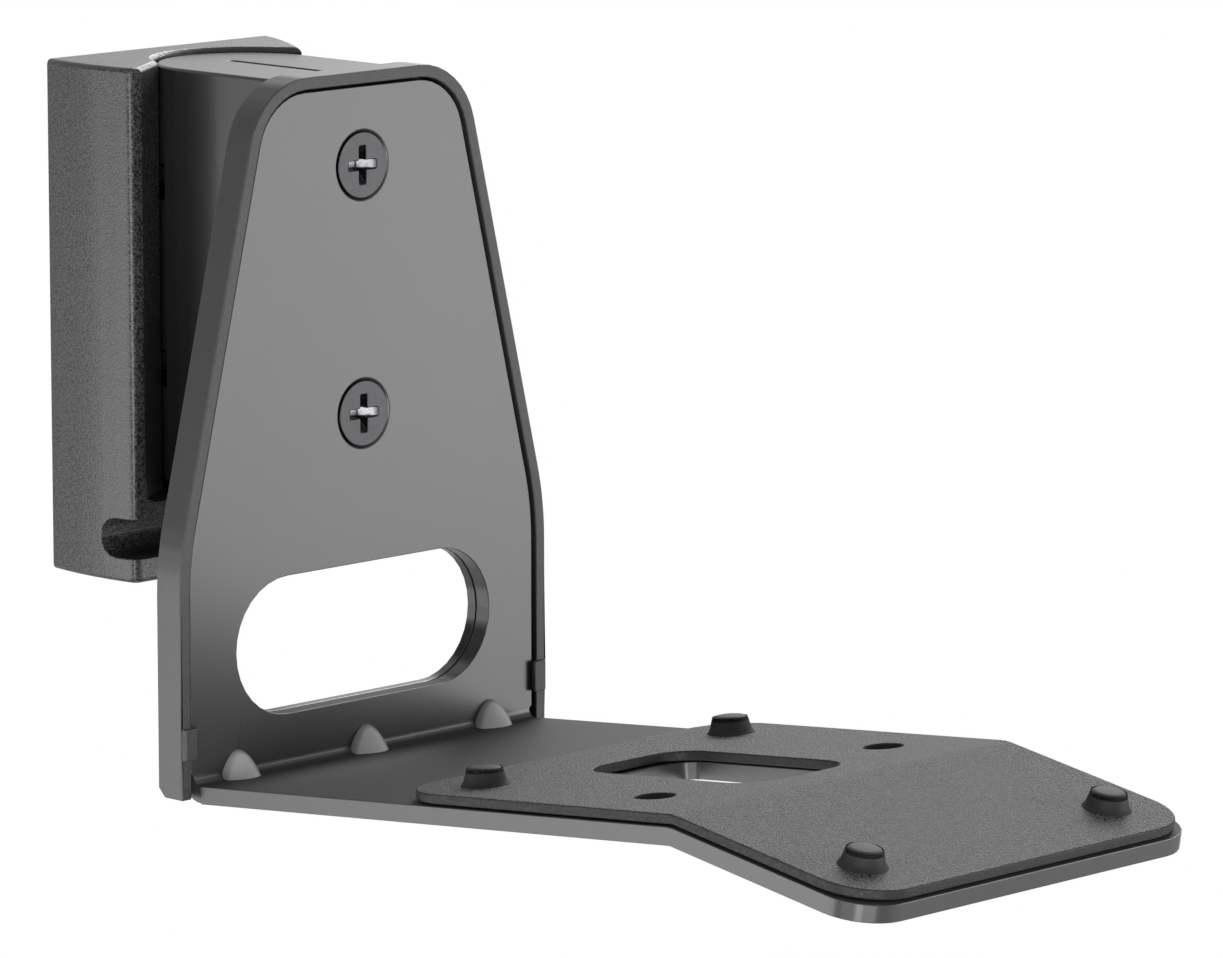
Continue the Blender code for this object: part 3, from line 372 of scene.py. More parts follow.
def satin_nylon(code):
    """Glass-filled nylon: satin, with a faint flow mottle, and duller with a fine grain on the rim's front."""
    material, tree, shader = new_finish("satin_glass_filled_nylon", code, {
        "IOR": 1.53, "Specular IOR Level": 0.3})
    # The glass fibres are about 0.01 mm thick. Their grain is drawn at 0.3 mm so that it shows.
    fac = grain(tree, 0.30)
    mottled = speckle(tree, shader, code, grain(tree, 6.0), spread=0.06)
    rim = out_from_wall(tree, near=51.0, far=51.2)
    grained = change_colour(tree, shader, fac, srgb("#0a0a0a"), srgb("#3a3a3b"))
    change_colour(tree, shader, rim, mottled, grained)
    roughen(tree, shader, rim, low=0.32, high=0.6, span=(0.0, 1.0))
    emboss(tree, shader, fac, depth=0.02, strength=0.25)
    return material


def powder_coat(code):
    """Satin powder coat on steel: closed and smooth, with a long low orange peel, and duller on level faces."""
    material, tree, shader = new_finish("satin_powder_coat", code, {"IOR": 1.55, "Specular IOR Level": 0.3})
    speckle(tree, shader, code, grain(tree, 9.0), spread=0.04)
    dull = level_face(tree, low=0.9, high=0.98, start=0.38, end=0.75)
    tree.links.new(dull, shader.inputs["Roughness"])
    emboss(tree, shader, grain(tree, 1.6), depth=0.006, strength=0.3)
    return material


def gusset_coat_painted_highlight(code):
    """The same powder coat over the pressed ribs: shinier, and painted paler as a highlight."""
    material, tree, shader = new_finish("powder_coat_painted_highlight", code, {
        "Roughness": 0.26, "IOR": 1.55, "Specular IOR Level": 1.0})
    speckle(tree, shader, code, grain(tree, 9.0), spread=0.04)
    return material


def moulded_rubber(code):
    """Moulded rubber: a blasted grain that sparkles a little on its level faces, and smooth edges painted
    darker as shade.
    """
    material, tree, shader = new_finish("blasted_moulded_rubber", code, {
        "IOR": 1.52, "Specular IOR Level": 0.2})
    # The blasted mould's real grain is about 0.1 mm. It is drawn at 0.32 mm so that it shows.
    fac = grain(tree, 0.32, detail=1.0)
    level = level_face(tree, low=0.85, high=0.95)
    specks = speckle(tree, shader, code, fac, spread=0.98, soft=0.05)
    # Faces that are not level (sides, rounded edges, underside) get plain #161616: painted shade.
    change_colour(tree, shader, level, srgb("#161616"), specks)
    roughen(tree, shader, fac, low=0.45, high=0.8)
    emboss(tree, shader, fac, depth=0.5, strength=level)
    return material


def black_zinc():
    """Black passivated zinc on steel screws: dark metal with turning marks, painted paler inside the cross as a
    highlight.
    """
    code = "#272728"
    material, tree, shader = new_finish("black_passivated_zinc", code, {"Metallic": 1.0})
    # The marks are about 0.1 mm apart. They are drawn at 0.25 mm so that they show.
    fac = grain(tree, 0.25, stretch=(0.3, 1.0, 1.0))
    black = speckle(tree, shader, code, fac, spread=0.18)
    # Paler grey from 50.7 mm out towards the wall: a painted highlight deep in the plate screws' crosses; the
    # cover screws, nearer the wall, come out in this paler grey all over.
    change_colour(tree, shader, out_from_wall(tree, near=50.7, far=50.2), black, srgb("#4a4a4c"))
    roughen(tree, shader, fac, low=0.28, high=0.42)
    return material


def hidden_finish(name, code, plain, size, stretch, spread, low, high):
    """A finish inside the bracket. Its grain varies the colour and roughness, and is drawn coarse to show."""
    material, tree, shader = new_finish(name, code, plain)
    fac = grain(tree, size, stretch=stretch)
    speckle(tree, shader, code, fac, spread)
    roughen(tree, shader, fac, low, high)
    return material


def bright_zinc():
    """Bright zinc plating: pale bluish metal with fine scratches."""
    return hidden_finish("bright_zinc_plating", "#b9bcc0", {"Metallic": 1.0}, size=0.2, stretch=(1.0, 1.0, 0.2),
                         spread=0.1, low=0.22, high=0.36)


def turned_brass():
    """Turned brass inserts with close tool marks round them."""
    return hidden_finish("turned_brass", "#c9a254", {"Metallic": 1.0}, size=0.18, stretch=(0.1, 1.0, 0.1),
                         spread=0.12, low=0.24, high=0.38)


def natural_nylon():
    """Natural nylon washers and bushes: milky, a little waxy, with a faint machining grain."""
    return hidden_finish("natural_nylon", "#d8d4c6", {"Subsurface Weight": 0.1, "Subsurface Scale": 1.0 * MM},
                         size=0.3, stretch=(1.0, 1.0, 1.0), spread=0.05, low=0.4, high=0.5)


def smooth_rubber(code):
    """The same rubber off polished pins in the mould: close and dull, without the blasted grain."""
    material, tree, shader = new_finish("smooth_moulded_rubber", code, {
        "Roughness": 0.65, "IOR": 1.52, "Specular IOR Level": 0.2})
    fac = grain(tree, 0.3)
    speckle(tree, shader, code, fac, spread=0.08)
    emboss(tree, shader, fac, depth=0.02, strength=0.2)
    return material


FINISHES = {}


def finish_of(maker, *code):
    """Make a finish once and hand out the same material afterwards."""
    if maker not in FINISHES:
        FINISHES[maker] = maker(*code)
    return FINISHES[maker]


# ---- rule-made pieces

def new_tree(name, inputs):
    """A geometry tree with named inputs and one geometry output. Returns it with its input sockets."""
    tree = bpy.data.node_groups.new(name, "GeometryNodeTree")
    for label, kind in inputs:
        tree.interface.new_socket(label, in_out="INPUT", socket_type="NodeSocket" + kind)
    tree.interface.new_socket("Geometry", in_out="OUTPUT", socket_type="NodeSocketGeometry")
    return tree, add_node(tree, "NodeGroupInput").outputs


def close_tree(tree, geometry, material):
    """Realize what the tree instanced, merge its seams and give it its finish."""
    real = add_node(tree, "GeometryNodeRealizeInstances", inputs={"Geometry": geometry})
    merged = add_node(tree, "GeometryNodeMergeByDistance", inputs={"Geometry": real, "Distance": SEAM_WELD})
    smooth = add_node(tree, "GeometryNodeSetShadeSmooth", inputs={"Geometry": merged})
    dressed = add_node(tree, "GeometryNodeSetMaterial", inputs={"Geometry": smooth, "Material": material})
    add_node(tree, "NodeGroupOutput", inputs={"Geometry": dressed})


def grown_piece(name, tree, values, material, body):
    """A piece whose mesh comes from a geometry tree with the given input values."""
    data = bpy.data.meshes.new(name)
    piece = bpy.data.objects.new(name, data)
    data.materials.append(material)
    modifier = piece.modifiers.new("built by rule", "NODES")
    modifier.node_group = tree
    for item in tree.interface.items_tree:
        if item.item_type == "SOCKET" and item.in_out == "INPUT":
            modifier[item.identifier] = values[item.name]
    bpy.context.scene.collection.objects.link(piece)
    piece["carried_by"] = body
    return piece


# Sides of everything round that the trees make, and slices of a peg and of a gusset's ball.
ROUND_SIDES, PEG_SLICES, BALL_SLICES = 64, 14, 40

# The pegs' flare takes up this share of their height, and its foot grows by this much of the share squared.
FLARE_SHARE, FLARE_GROWTH = 0.42, 0.9

# The slots of a cross would come to a point at this share of the cutter's whole height.
CROSS_TAPER = 0.62

# The gussets' crown is this power of a ball's, and they are cut off behind at this share of their reach.
CROWN_POWER, GUSSET_BACK = 2.0, 0.2


def row_along_x(tree, piece, count, spacing):
    """Instances of a piece in a row along X, with the middle of the row at the origin."""
    start = add_node(tree, "ShaderNodeCombineXYZ", inputs={
        "X": work_out(tree, ("MULTIPLY", spacing, (1 - count) / 2))})
    step = add_node(tree, "ShaderNodeCombineXYZ", inputs={"X": spacing})
    line = add_node(tree, "GeometryNodeMeshLine", inputs={
        "Count": count, "Start Location": start, "Offset": step})
    return add_node(tree, "GeometryNodeInstanceOnPoints", inputs={"Points": line, "Instance": piece})


def peg_tree():
    """Rows of tapered pegs with a flared foot, each row leaning with the surface under it."""
    rows = [(row + label, kind) for row in ("Back ", "Front ")
            for label, kind in (("place", "Vector"), ("lean", "Float"), ("height", "Float"))]
    sizes = [("Offset", "Float"), ("Foot radius", "Float"), ("Top radius", "Float"), ("Sink", "Float")]
    tree, given = new_tree("tapered_pegs", rows + sizes + [("Material", "Material")])
    built = add_node(tree, "GeometryNodeJoinGeometry")
    for row in ("Back ", "Front "):
        depth = work_out(tree, ("ADD", given[row + "height"], given["Sink"]))
        cone = add_node(tree, "GeometryNodeMeshCone", {"fill_type": "TRIANGLE_FAN"}, {
            "Vertices": ROUND_SIDES, "Side Segments": PEG_SLICES, "Radius Top": given["Top radius"],
            "Radius Bottom": given["Foot radius"], "Depth": depth})
        spot = add_node(tree, "GeometryNodeInputPosition")
        height = add_node(tree, "ShaderNodeSeparateXYZ", inputs={"Vector": spot}).outputs["Z"]
        left = ("MAXIMUM", ("SUBTRACT", FLARE_SHARE, ("DIVIDE", height, depth)), 0.0)
        flare = work_out(tree, ("ADD", ("MULTIPLY", ("POWER", left, 2.0), FLARE_GROWTH), 1.0))
        wide = add_node(tree, "ShaderNodeCombineXYZ", inputs={"X": flare, "Y": flare, "Z": 1.0})
        moved = add_node(tree, "ShaderNodeVectorMath", {"operation": "MULTIPLY"}, {0: spot, 1: wide})
        shaped = add_node(tree, "GeometryNodeSetPosition", inputs={"Geometry": cone, "Position": moved})
        sink = work_out(tree, ("MULTIPLY", given["Sink"], -1.0))
        down = add_node(tree, "ShaderNodeCombineXYZ", inputs={"Z": sink})
        sunk = add_node(tree, "GeometryNodeTransform", inputs={"Geometry": shaped, "Translation": down})
        pair = row_along_x(tree, sunk, 2, work_out(tree, ("MULTIPLY", given["Offset"], 2.0)))
        lean = add_node(tree, "ShaderNodeCombineXYZ", inputs={"X": given[row + "lean"]})
        stood = add_node(tree, "GeometryNodeTransform", inputs={
            "Geometry": pair, "Translation": given[row + "place"], "Rotation": lean})
        tree.links.new(stood.outputs["Geometry"], built.inputs["Geometry"])
    close_tree(tree, built, given["Material"])
    return tree


def screw_tree():
    """A row of countersunk screws with a cross recess. Each one's head faces -Z before the row is turned."""
    lengths = ("Head radius", "Shank radius", "Length", "Cross length", "Cross width", "Cross depth", "Land",
               "Spacing")
    tree, given = new_tree("countersunk_screws", [(label, "Float") for label in lengths] + [
        ("Turn", "Vector"), ("Place", "Vector"), ("Material", "Material")])
    head, shank, land = given["Head radius"], given["Shank radius"], given["Land"]
    whole = add_node(tree, "GeometryNodeMeshBoolean", {"operation": "UNION", "solver": "EXACT"})
    for low, depth, wide, narrow in (
            (land, ("SUBTRACT", head, shank), head, shank),
            (0.0, ("SUBTRACT", land, 0.0), head, head),
            (land, ("SUBTRACT", given["Length"], land), shank, shank)):
        turned = add_node(tree, "GeometryNodeMeshCone", inputs={
            "Vertices": ROUND_SIDES, "Radius Top": narrow, "Radius Bottom": wide,
            "Depth": work_out(tree, depth)})
        lift = add_node(tree, "ShaderNodeCombineXYZ", inputs={"Z": low})
        part = add_node(tree, "GeometryNodeTransform", inputs={"Geometry": turned, "Translation": lift})
        tree.links.new(part.outputs["Geometry"], whole.inputs["Mesh 2"])
    cut = add_node(tree, "GeometryNodeMeshBoolean", {"operation": "DIFFERENCE", "solver": "EXACT"},
                   {"Mesh 1": whole})
    depth = work_out(tree, ("MULTIPLY", given["Cross depth"], 2.0))
    for long_axis, wide_axis in (("X", "Y"), ("Y", "X")):
        size = add_node(tree, "ShaderNodeCombineXYZ", inputs={
            long_axis: given["Cross length"], wide_axis: given["Cross width"], "Z": depth})
        block = add_node(tree, "GeometryNodeMeshCube", inputs={"Size": size})
        spot = add_node(tree, "GeometryNodeInputPosition")
        inward = add_node(tree, "ShaderNodeSeparateXYZ", inputs={"Vector": spot}).outputs["Z"]
        left = work_out(tree, ("SUBTRACT", 1.0, ("DIVIDE", inward, ("MULTIPLY", depth, CROSS_TAPER))))
        taper = add_node(tree, "ShaderNodeCombineXYZ", inputs={long_axis: left, wide_axis: 1.0, "Z": 1.0})
        moved = add_node(tree, "ShaderNodeVectorMath", {"operation": "MULTIPLY"}, {0: spot, 1: taper})
        slot = add_node(tree, "GeometryNodeSetPosition", inputs={"Geometry": block, "Position": moved})
        tree.links.new(slot.outputs["Geometry"], cut.inputs["Mesh 2"])
    row = row_along_x(tree, cut, 2, given["Spacing"])
    turned = add_node(tree, "GeometryNodeTransform", inputs={
        "Geometry": row, "Translation": given["Place"], "Rotation": given["Turn"]})
    close_tree(tree, turned, given["Material"])
    return tree


def gusset_tree():
    """A row of ribs pressed into the bend: half bullets that stand against the upright."""
    lengths = ("Half width", "Reach", "Height", "Root", "Spacing")
    tree, given = new_tree("bend_gussets", [(label, "Float") for label in lengths] + [
        ("Place", "Vector"), ("Material", "Material")])
    ball = add_node(tree, "GeometryNodeMeshUVSphere", inputs={
        "Segments": ROUND_SIDES, "Rings": BALL_SLICES, "Radius": 1.0})
    spot = add_node(tree, "ShaderNodeSeparateXYZ", inputs={
        "Vector": add_node(tree, "GeometryNodeInputPosition")}).outputs
    crown = ("MULTIPLY", ("POWER", ("MAXIMUM", spot["Z"], 0.0), CROWN_POWER), given["Height"])
    root = ("MULTIPLY", ("MINIMUM", spot["Z"], 0.0), given["Root"])
    moved = add_node(tree, "ShaderNodeCombineXYZ", inputs={
        "X": work_out(tree, ("MULTIPLY", spot["X"], given["Half width"])),
        "Y": work_out(tree, ("MULTIPLY", ("MINIMUM", spot["Y"], GUSSET_BACK), given["Reach"])),
        "Z": work_out(tree, ("ADD", crown, root))})
    bullet = add_node(tree, "GeometryNodeSetPosition", inputs={"Geometry": ball, "Position": moved})
    row = row_along_x(tree, bullet, 3, given["Spacing"])
    set_down = add_node(tree, "GeometryNodeTransform", inputs={"Geometry": row, "Translation": given["Place"]})
    close_tree(tree, set_down, given["Material"])
    return tree


# ---- the folded sheet's path

def on_sheet(sheet, x, station, above):
    """A point above the tray's top. The station runs from the end of the bend towards the front, in mm."""
    lean = -sheet.rise
    y = -sheet.front + sheet.bend_radius * (-1.0 - math.sin(sheet.rise))
    z = sheet.bend_top - sheet.bend_radius * math.cos(sheet.rise)
    run = min(station, sheet.tray_length)
    y -= run * math.cos(sheet.rise)
    z += run * math.sin(sheet.rise)
    outer = sheet.fold_radius + sheet.steel
    turn = sheet.rise + sheet.drop
    if station > sheet.tray_length:
        lean = min((station - sheet.tray_length) / outer, turn) - sheet.rise
        y += outer * (math.sin(-sheet.rise) - math.sin(lean))
        z += outer * (math.cos(lean) - math.cos(sheet.rise))
    beyond = station - sheet.tray_length - outer * turn
    if beyond > 0:
        y -= beyond * math.cos(sheet.drop)
        z -= beyond * math.sin(sheet.drop)
    return Vector((x, y - above * math.sin(lean), z + above * math.cos(lean)))


def fold_end(sheet):
    """Station at which the fold is over."""
    return sheet.tray_length + (sheet.fold_radius + sheet.steel) * (sheet.rise + sheet.drop)


def rounded_loop(corners, steps=10):
    """Points of a closed outline whose corners (x, y, radius) are rounded."""
    points = []
    for index, (x, y, radius) in enumerate(corners):
        here = Vector((x, y))
        back = (Vector(corners[index - 1][:2]) - here).normalized()
        on = (Vector(corners[(index + 1) % len(corners)][:2]) - here).normalized()
        half = back.angle(on) / 2
        centre = here + (back + on).normalized() * radius / math.sin(half)
        first = here + back * radius / math.tan(half) - centre
        last = here + on * radius / math.tan(half) - centre
        turn = first.angle_signed(last)
        for k in range(steps + 1):
            points.append(centre + Matrix.Rotation(-turn * k / steps, 2) @ first)
    return points


def ring_loop(x, y, radius, steps=40):
    """Points of a circle."""
    return [Vector((x + radius * math.cos(a), y + radius * math.sin(a)))
            for a in (2 * math.pi * k / steps for k in range(steps))]


# ---- the studio

# Point that the camera and the lamps are aimed at, in metres.
AIM = Vector((0.0235, -0.0863, -0.0241))

# Half of the floor's side, in metres.
FLOOR_HALF = 8.0

# Lamps: name, azimuth and elevation in degrees, distance from AIM and side in metres, power in watts.
SOFT_BOXES = (("front", -46.0, -13.0, 0.85, 0.42, 10.5), ("plate_side", 46.0, -4.0, 1.5, 0.7, 17.0),
              ("pad_side", 119.0, 33.0, 1.5, 0.8, 18.5), ("arm_side", -120.0, -16.0, 0.8, 0.45, 4.8))


def stand_round(thing, azimuth, elevation, away):
    """Put a camera or a lamp into the scene at an angle round the bracket, looking at AIM."""
    towards = Vector((math.sin(azimuth) * math.cos(elevation), -math.cos(azimuth) * math.cos(elevation),
                      math.sin(elevation)))
    thing.location = AIM + towards * away
    thing.rotation_mode = "QUATERNION"
    thing.rotation_quaternion = towards.to_track_quat("Z", "Y")
    bpy.context.scene.collection.objects.link(thing)


def show_white(tree, lit, white, output):
    """Show white to rays from the camera, off gloss and through glass, and light the rest as lit does."""
    rays = add_node(tree, "ShaderNodeLightPath").outputs
    seen = work_out(tree, ("MAXIMUM", ("MAXIMUM", rays["Is Camera Ray"], rays["Is Glossy Ray"]),
                           rays["Is Transmission Ray"]))
    mixed = add_node(tree, "ShaderNodeMixShader", inputs={0: seen, 1: lit, 2: white})
    tree.links.new(mixed.outputs[0], output.inputs["Surface"])


# ---- one operator for each piece

# Straight strips in which the pad goes round the fold.
FOLD_STEPS = 4

# Cross recess of the small cover screws, as shares of the head's radius.
SMALL_CROSS = {"Cross length": 1.2, "Cross width": 0.28, "Cross depth": 0.35}


class BRACKET_OT_wall_cover(bpy.types.Operator):
    """Textured wall cover with its recess and cable channel"""
    bl_idname = "bracket.wall_cover"
    bl_label = "Wall cover"

    def execute(self, context):
        finish = context.scene.bracket_finish
        plastic = finish_of(spark_eroded_abs, finish.cover_black)
        cover = copy_of_node("wall_cover", "moulded_wall_cover", plastic, FIXED)
        soften_edges(cover, finish.moulded_edge)
        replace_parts(settle(cover), "wall_cover")
        return {"FINISHED"}


class BRACKET_OT_arm_shell(bpy.types.Operator):
    """Moulded arm with the shell and the two hooks that hold the plate"""
    bl_idname = "bracket.arm_shell"
    bl_label = "Arm shell"

    def execute(self, context):
        finish = context.scene.bracket_finish
        plastic = finish_of(satin_nylon, finish.arm_black)
        arm = copy_of_node("arm_shell", "moulded_arm_shell", plastic, MOVING)
        slit = context.scene.bracket_slit
        cutter = bmesh.new()
        bmesh.ops.create_cube(cutter, size=1.0)
        bmesh.ops.scale(cutter, vec=Vector((slit.width, slit.end - slit.start, slit.depth * 2)) * MM,
                        verts=cutter.verts)
        middle = -(slit.start + slit.end) / 2
        bmesh.ops.translate(cutter, vec=(0.0, middle * MM, slit.top * MM), verts=cutter.verts)
        cutter = new_piece("slit_cutter", cutter, plastic, MOVING)
        cut = arm.modifiers.new("slit", "BOOLEAN")
        cut.object, cut.operation, cut.solver = cutter, "DIFFERENCE", "EXACT"
        soften_edges(arm, finish.moulded_edge)
        settle(arm)
        bpy.data.objects.remove(cutter)
        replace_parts(arm, "arm_shell")
        return {"FINISHED"}


class BRACKET_OT_support_plate(bpy.types.Operator):
    """Folded steel plate with its pressed gussets"""
    bl_idname = "bracket.support_plate"
    bl_label = "Support plate"

    def execute(self, context):
        finish, sheet = context.scene.bracket_finish, context.scene.bracket_sheet
        sizes = context.scene.bracket_fasteners
        steel = finish_of(powder_coat, finish.coat_black)
        plate = copy_of_node("support_plate", "folded_steel_plate", steel, MOVING)
        soften_edges(plate, finish.steel_edge)
        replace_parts(settle(plate), "support_plate")
        # The gussets' pale coat is a painted highlight.
        pale = finish_of(gusset_coat_painted_highlight, finish.gusset_painted_highlight)
        foot = on_sheet(sheet, 0.0, 0.0, 0.0)
        place = Vector((0.0, -sheet.front, foot.z)) * MM
        ribs = grown_piece("bend_gussets", gusset_tree(), {
            "Half width": sizes.gusset_half_width * MM, "Reach": sizes.gusset_reach * MM,
            "Height": sizes.gusset_height * MM, "Root": sizes.gusset_root * MM,
            "Spacing": sizes.gusset_spacing * MM, "Place": place, "Material": pale}, pale, MOVING)
        settle(ribs)
        return {"FINISHED"}


class BRACKET_OT_pad(bpy.types.Operator):
    """Rubber pad laid over the fold, and its four pegs"""
    bl_idname = "bracket.pad"
    bl_label = "Pad and pegs"

    def execute(self, context):
        finish, sheet = context.scene.bracket_finish, context.scene.bracket_sheet
        pad = context.scene.bracket_pad
        rubber = finish_of(moulded_rubber, finish.rubber_black)
        half = sheet.half_width - pad.inset
        front = fold_end(sheet) + sheet.front_length - pad.inset
        outline = rounded_loop([(-half, pad.start, pad.back_corner), (half, pad.start, pad.back_corner),
                                (half, front, pad.front_corner), (-half, front, pad.front_corner)])
        wide, near, far = pad.cutout_half_width, pad.cutout_start, pad.cutout_start + pad.cutout_length
        window = rounded_loop([(x, y, pad.cutout_corner) for x, y in
                               ((-wide, near), (wide, near), (wide, far), (-wide, far))], steps=8)
        holes = [ring_loop(side * pad.hole_x, pad.hole_at, pad.hole_radius) for side in (-1, 1)]

        flat = bmesh.new()
        for loop in (outline, window, *holes):
            ring = [flat.verts.new((p.x, p.y, pad.gap)) for p in loop]
            for index, vert in enumerate(ring):
                flat.edges.new((vert, ring[index - 1]))
        bmesh.ops.triangle_fill(flat, edges=flat.edges, use_beauty=True)
        raised = bmesh.ops.extrude_face_region(flat, geom=flat.faces[:])["geom"]
        raised = [part for part in raised if isinstance(part, bmesh.types.BMVert)]
        bmesh.ops.translate(flat, vec=(0.0, 0.0, pad.thickness), verts=raised)
        bmesh.ops.recalc_face_normals(flat, faces=flat.faces)
        blank = new_piece("pad_blank", flat, rubber, MOVING)
        round_creases(blank, pad.edge, segments=3, angle=60)
        bpy.context.view_layer.update()
        evaluated = blank.evaluated_get(bpy.context.evaluated_depsgraph_get())
        bent = bmesh.new()
        bent.from_mesh(evaluated.to_mesh())
        evaluated.to_mesh_clear()
        bpy.data.objects.remove(blank)
        for k in range(FOLD_STEPS + 1):
            station = sheet.tray_length + (fold_end(sheet) - sheet.tray_length) * k / FOLD_STEPS
            bmesh.ops.bisect_plane(bent, geom=bent.verts[:] + bent.edges[:] + bent.faces[:], dist=1e-5,
                                   plane_co=(0.0, station, 0.0), plane_no=(0.0, 1.0, 0.0))
        for vert in bent.verts:
            vert.co = on_sheet(sheet, *vert.co) * MM
        bmesh.ops.recalc_face_normals(bent, faces=bent.faces)
        laid = new_piece("rubber_pad", bent, rubber, MOVING)
        keep_flats(laid)
        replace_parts(settle(laid), "pad")

        top = pad.gap + pad.thickness
        smooth = finish_of(smooth_rubber, finish.peg_black)
        pegs = grown_piece("pad_pegs", peg_tree(), {
            "Back place": on_sheet(sheet, 0.0, pad.peg_back_at, top) * MM, "Back lean": -sheet.rise,
            "Back height": pad.peg_back_height * MM,
            "Front place": on_sheet(sheet, 0.0, fold_end(sheet) + pad.peg_front_at, top) * MM,
            "Front lean": sheet.drop, "Front height": pad.peg_front_height * MM, "Offset": pad.peg_x * MM,
            "Foot radius": (pad.peg_foot - pad.peg_flare) * MM, "Top radius": pad.peg_top * MM,
            "Sink": pad.edge * MM, "Material": smooth}, smooth, MOVING)
        round_creases(pegs, pad.peg_edge * MM, segments=4, angle=40)
        keep_flats(pegs)
        settle(pegs)
        return {"FINISHED"}


class BRACKET_OT_screws(bpy.types.Operator):
    """Countersunk screws of the plate and of the cover"""
    bl_idname = "bracket.screws"
    bl_label = "Screws"

    def execute(self, context):
        finish, sizes = context.scene.bracket_finish, context.scene.bracket_fasteners
        steel = finish_of(black_zinc)
        tree = screw_tree()
        quarter = math.pi / 2
        face = context.scene.bracket_sheet.front + sizes.proud
        middle = sizes.upper - sizes.spacing / 2
        plate_row = grown_piece("plate_screws", tree, {
            "Head radius": sizes.head_radius * MM, "Shank radius": sizes.shank_radius * MM,
            "Length": sizes.length * MM, "Cross length": sizes.cross_length * MM,
            "Cross width": sizes.cross_width * MM, "Cross depth": sizes.cross_depth * MM,
            "Land": sizes.land * MM, "Spacing": sizes.spacing * MM, "Turn": (-quarter, quarter, 0.0),
            "Place": Vector((0.0, -face, middle)) * MM, "Material": steel}, steel, MOVING)
        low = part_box("cover_screw_left")[0]
        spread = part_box("cover_screw_right")[0].x - low.x
        seat = (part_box("cover_screw_left")[0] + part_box("cover_screw_left")[1]) / 2
        cover_row = grown_piece("cover_screws", tree, {
            "Head radius": sizes.cover_head * MM, "Shank radius": sizes.cover_shank * MM,
            "Length": sizes.cover_length * MM,
            **{size: sizes.cover_head * share * MM for size, share in SMALL_CROSS.items()},
            "Land": sizes.cover_land * MM, "Spacing": spread, "Turn": (0.0, 0.0, 0.0),
            "Place": (0.0, seat.y, low.z), "Material": steel}, steel, FIXED)
        for row, nodes in ((plate_row, ("plate_screw_upper", "plate_screw_lower")),
                           (cover_row, ("cover_screw_left", "cover_screw_right"))):
            soften_edges(row, finish.fastener_edge)
            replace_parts(settle(row), *nodes)
        return {"FINISHED"}


class BRACKET_OT_wall_plate(bpy.types.Operator):
    """Steel plate on the wall with the two tabs that carry the arm"""
    bl_idname = "bracket.wall_plate"
    bl_label = "Wall plate"

    def execute(self, context):
        finish = context.scene.bracket_finish
        steel = finish_of(powder_coat, finish.coat_black)
        plate = copy_of_node("wall_plate", "steel_wall_plate", steel, FIXED)
        soften_edges(plate, finish.wall_plate_edge)
        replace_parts(settle(plate), "wall_plate")
        return {"FINISHED"}


class BRACKET_OT_pivot(bpy.types.Operator):
    """Bolt, nut, spring, washers and bushes on the swivel's axis, and the screw inserts"""
    bl_idname = "bracket.pivot"
    bl_label = "Pivot and inserts"

    def execute(self, context):
        bolt = copy_of_node("pivot_bolt", "socket_pivot_bolt", finish_of(bright_zinc), MOVING)
        soften_edges(bolt, context.scene.bracket_finish.fastener_edge)
        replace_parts(settle(bolt), "pivot_bolt")
        finishes = {"pivot": bright_zinc, "insert": turned_brass,
                    "tab": natural_nylon, "friction": natural_nylon}
        for name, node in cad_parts.items():
            maker = finishes.get(name.split("_")[0])
            if maker and not node.hide_render:
                node.data.materials.clear()
                node.data.materials.append(finish_of(maker))
        return {"FINISHED"}


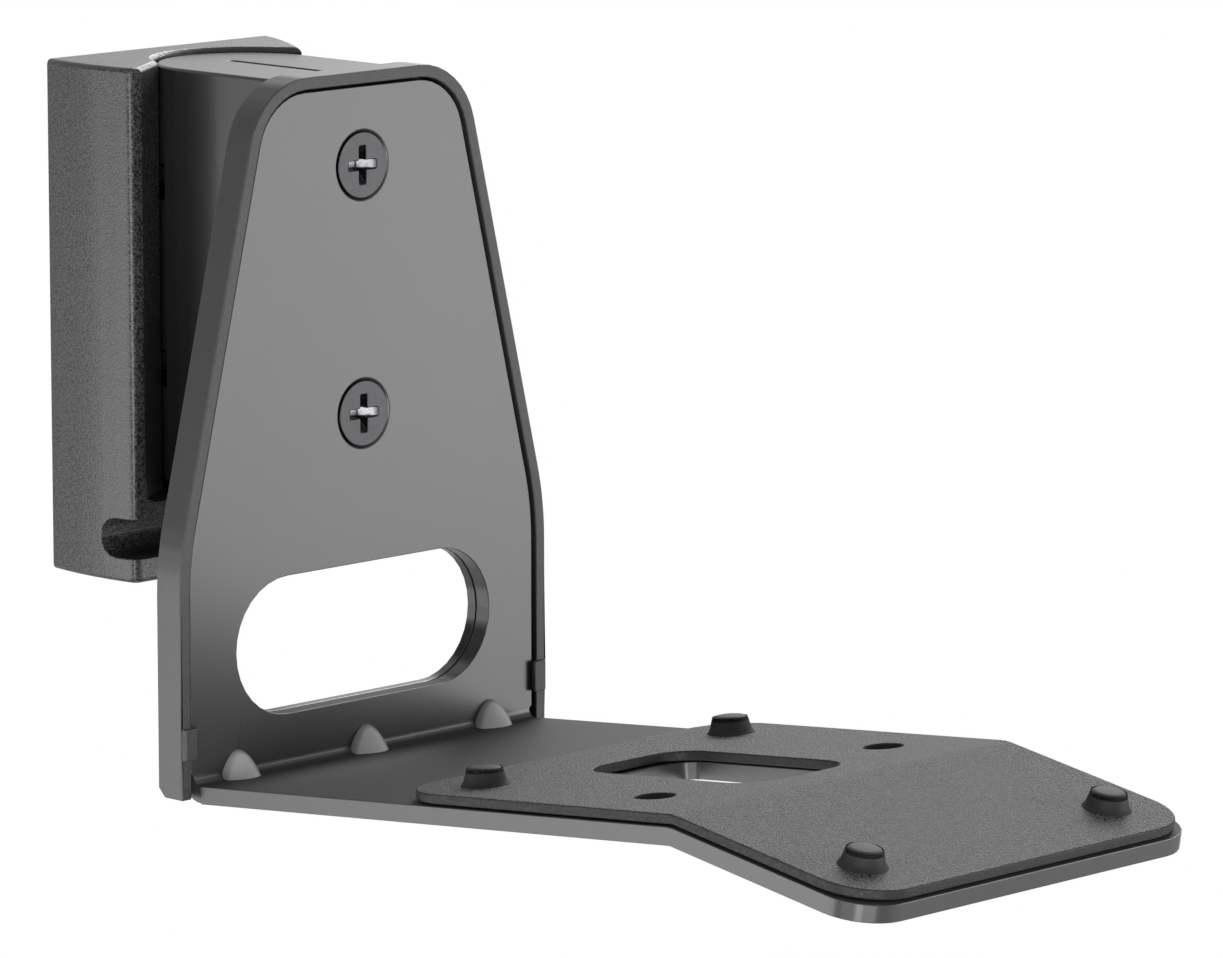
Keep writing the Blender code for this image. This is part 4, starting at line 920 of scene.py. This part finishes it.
class BRACKET_OT_stage(bpy.types.Operator):
    """White studio with soft boxes, and the photograph's camera"""
    bl_idname = "bracket.stage"
    bl_label = "Studio"

    def execute(self, context):
        studio = context.scene.bracket_studio
        context.scene.view_settings.view_transform = "Standard"

        camera = bpy.data.objects.new("camera", bpy.data.cameras.new("camera"))
        camera.data.lens = studio.lens
        camera.data.sensor_width = 36.0
        camera.data.clip_start, camera.data.clip_end = 0.05, 50.0
        stand_round(camera, studio.azimuth, studio.elevation, studio.distance)
        context.scene.camera = camera

        world = bpy.data.worlds.new("studio")
        context.scene.world = world
        world.use_nodes = True
        tree = world.node_tree
        tree.nodes.clear()
        even, white = (add_node(tree, "ShaderNodeBackground", inputs={
            "Color": srgb("#ffffff"), "Strength": strength}) for strength in (studio.ambient, 1.0))
        show_white(tree, even, white, add_node(tree, "ShaderNodeOutputWorld"))

        floor_mesh = bmesh.new()
        bmesh.ops.create_grid(floor_mesh, x_segments=1, y_segments=1, size=FLOOR_HALF)
        data = bpy.data.meshes.new("floor")
        floor_mesh.to_mesh(data)
        floor_mesh.free()
        floor = bpy.data.objects.new("floor", data)
        floor.location.z = -studio.floor_drop
        context.scene.collection.objects.link(floor)
        paper, tree, shader = new_finish("white_paper_floor", "#f4f4f4", {"Roughness": 0.9})
        glow = add_node(tree, "ShaderNodeEmission", inputs={"Strength": 1.0})
        show_white(tree, shader, glow, tree.nodes["Material Output"])
        data.materials.append(paper)

        for name, azimuth, elevation, away, size, power in SOFT_BOXES:
            lamp = bpy.data.objects.new("soft_box_" + name, bpy.data.lights.new("soft_box_" + name, "AREA"))
            lamp.data.shape, lamp.data.size, lamp.data.energy = "SQUARE", size, power * studio.lamps
            lamp.visible_camera = False
            stand_round(lamp, math.radians(azimuth), math.radians(elevation), away)
        return {"FINISHED"}


class BRACKET_PT_panel(bpy.types.Panel):
    """Builds the bracket's pieces one by one"""
    bl_label = "Speaker wall bracket"
    bl_idname = "BRACKET_PT_panel"
    bl_space_type = "VIEW_3D"
    bl_region_type = "UI"
    bl_category = "Bracket"

    def draw(self, context):
        for name in SETTINGS:
            box = self.layout.box()
            box.label(text=SETTINGS[name].__doc__)
            group = getattr(context.scene, name)
            for item in group.bl_rna.properties:
                if item.identifier not in ("rna_type", "name"):
                    box.prop(group, item.identifier)
        for operator in OPERATORS:
            self.layout.operator(operator.bl_idname)


SETTINGS = {"bracket_finish": FinishSettings, "bracket_pad": PadSettings, "bracket_sheet": SheetSettings,
            "bracket_slit": SlitSettings, "bracket_fasteners": FastenerSettings,
            "bracket_studio": StudioSettings}
OPERATORS = (BRACKET_OT_wall_cover, BRACKET_OT_arm_shell, BRACKET_OT_support_plate, BRACKET_OT_pad,
             BRACKET_OT_screws, BRACKET_OT_wall_plate, BRACKET_OT_pivot, BRACKET_OT_stage)
CLASSES = (*SETTINGS.values(), *OPERATORS, BRACKET_PT_panel)


def register():
    for made in CLASSES:
        bpy.utils.register_class(made)
    for name, group in SETTINGS.items():
        setattr(bpy.types.Scene, name, bpy.props.PointerProperty(type=group))


def unregister():
    for name in SETTINGS:
        delattr(bpy.types.Scene, name)
    for made in reversed(CLASSES):
        bpy.utils.unregister_class(made)


def main():
    register()
    for operator in OPERATORS:
        group, name = operator.bl_idname.split(".")
        getattr(getattr(bpy.ops, group), name)()


if __name__ == "__main__":
    main()
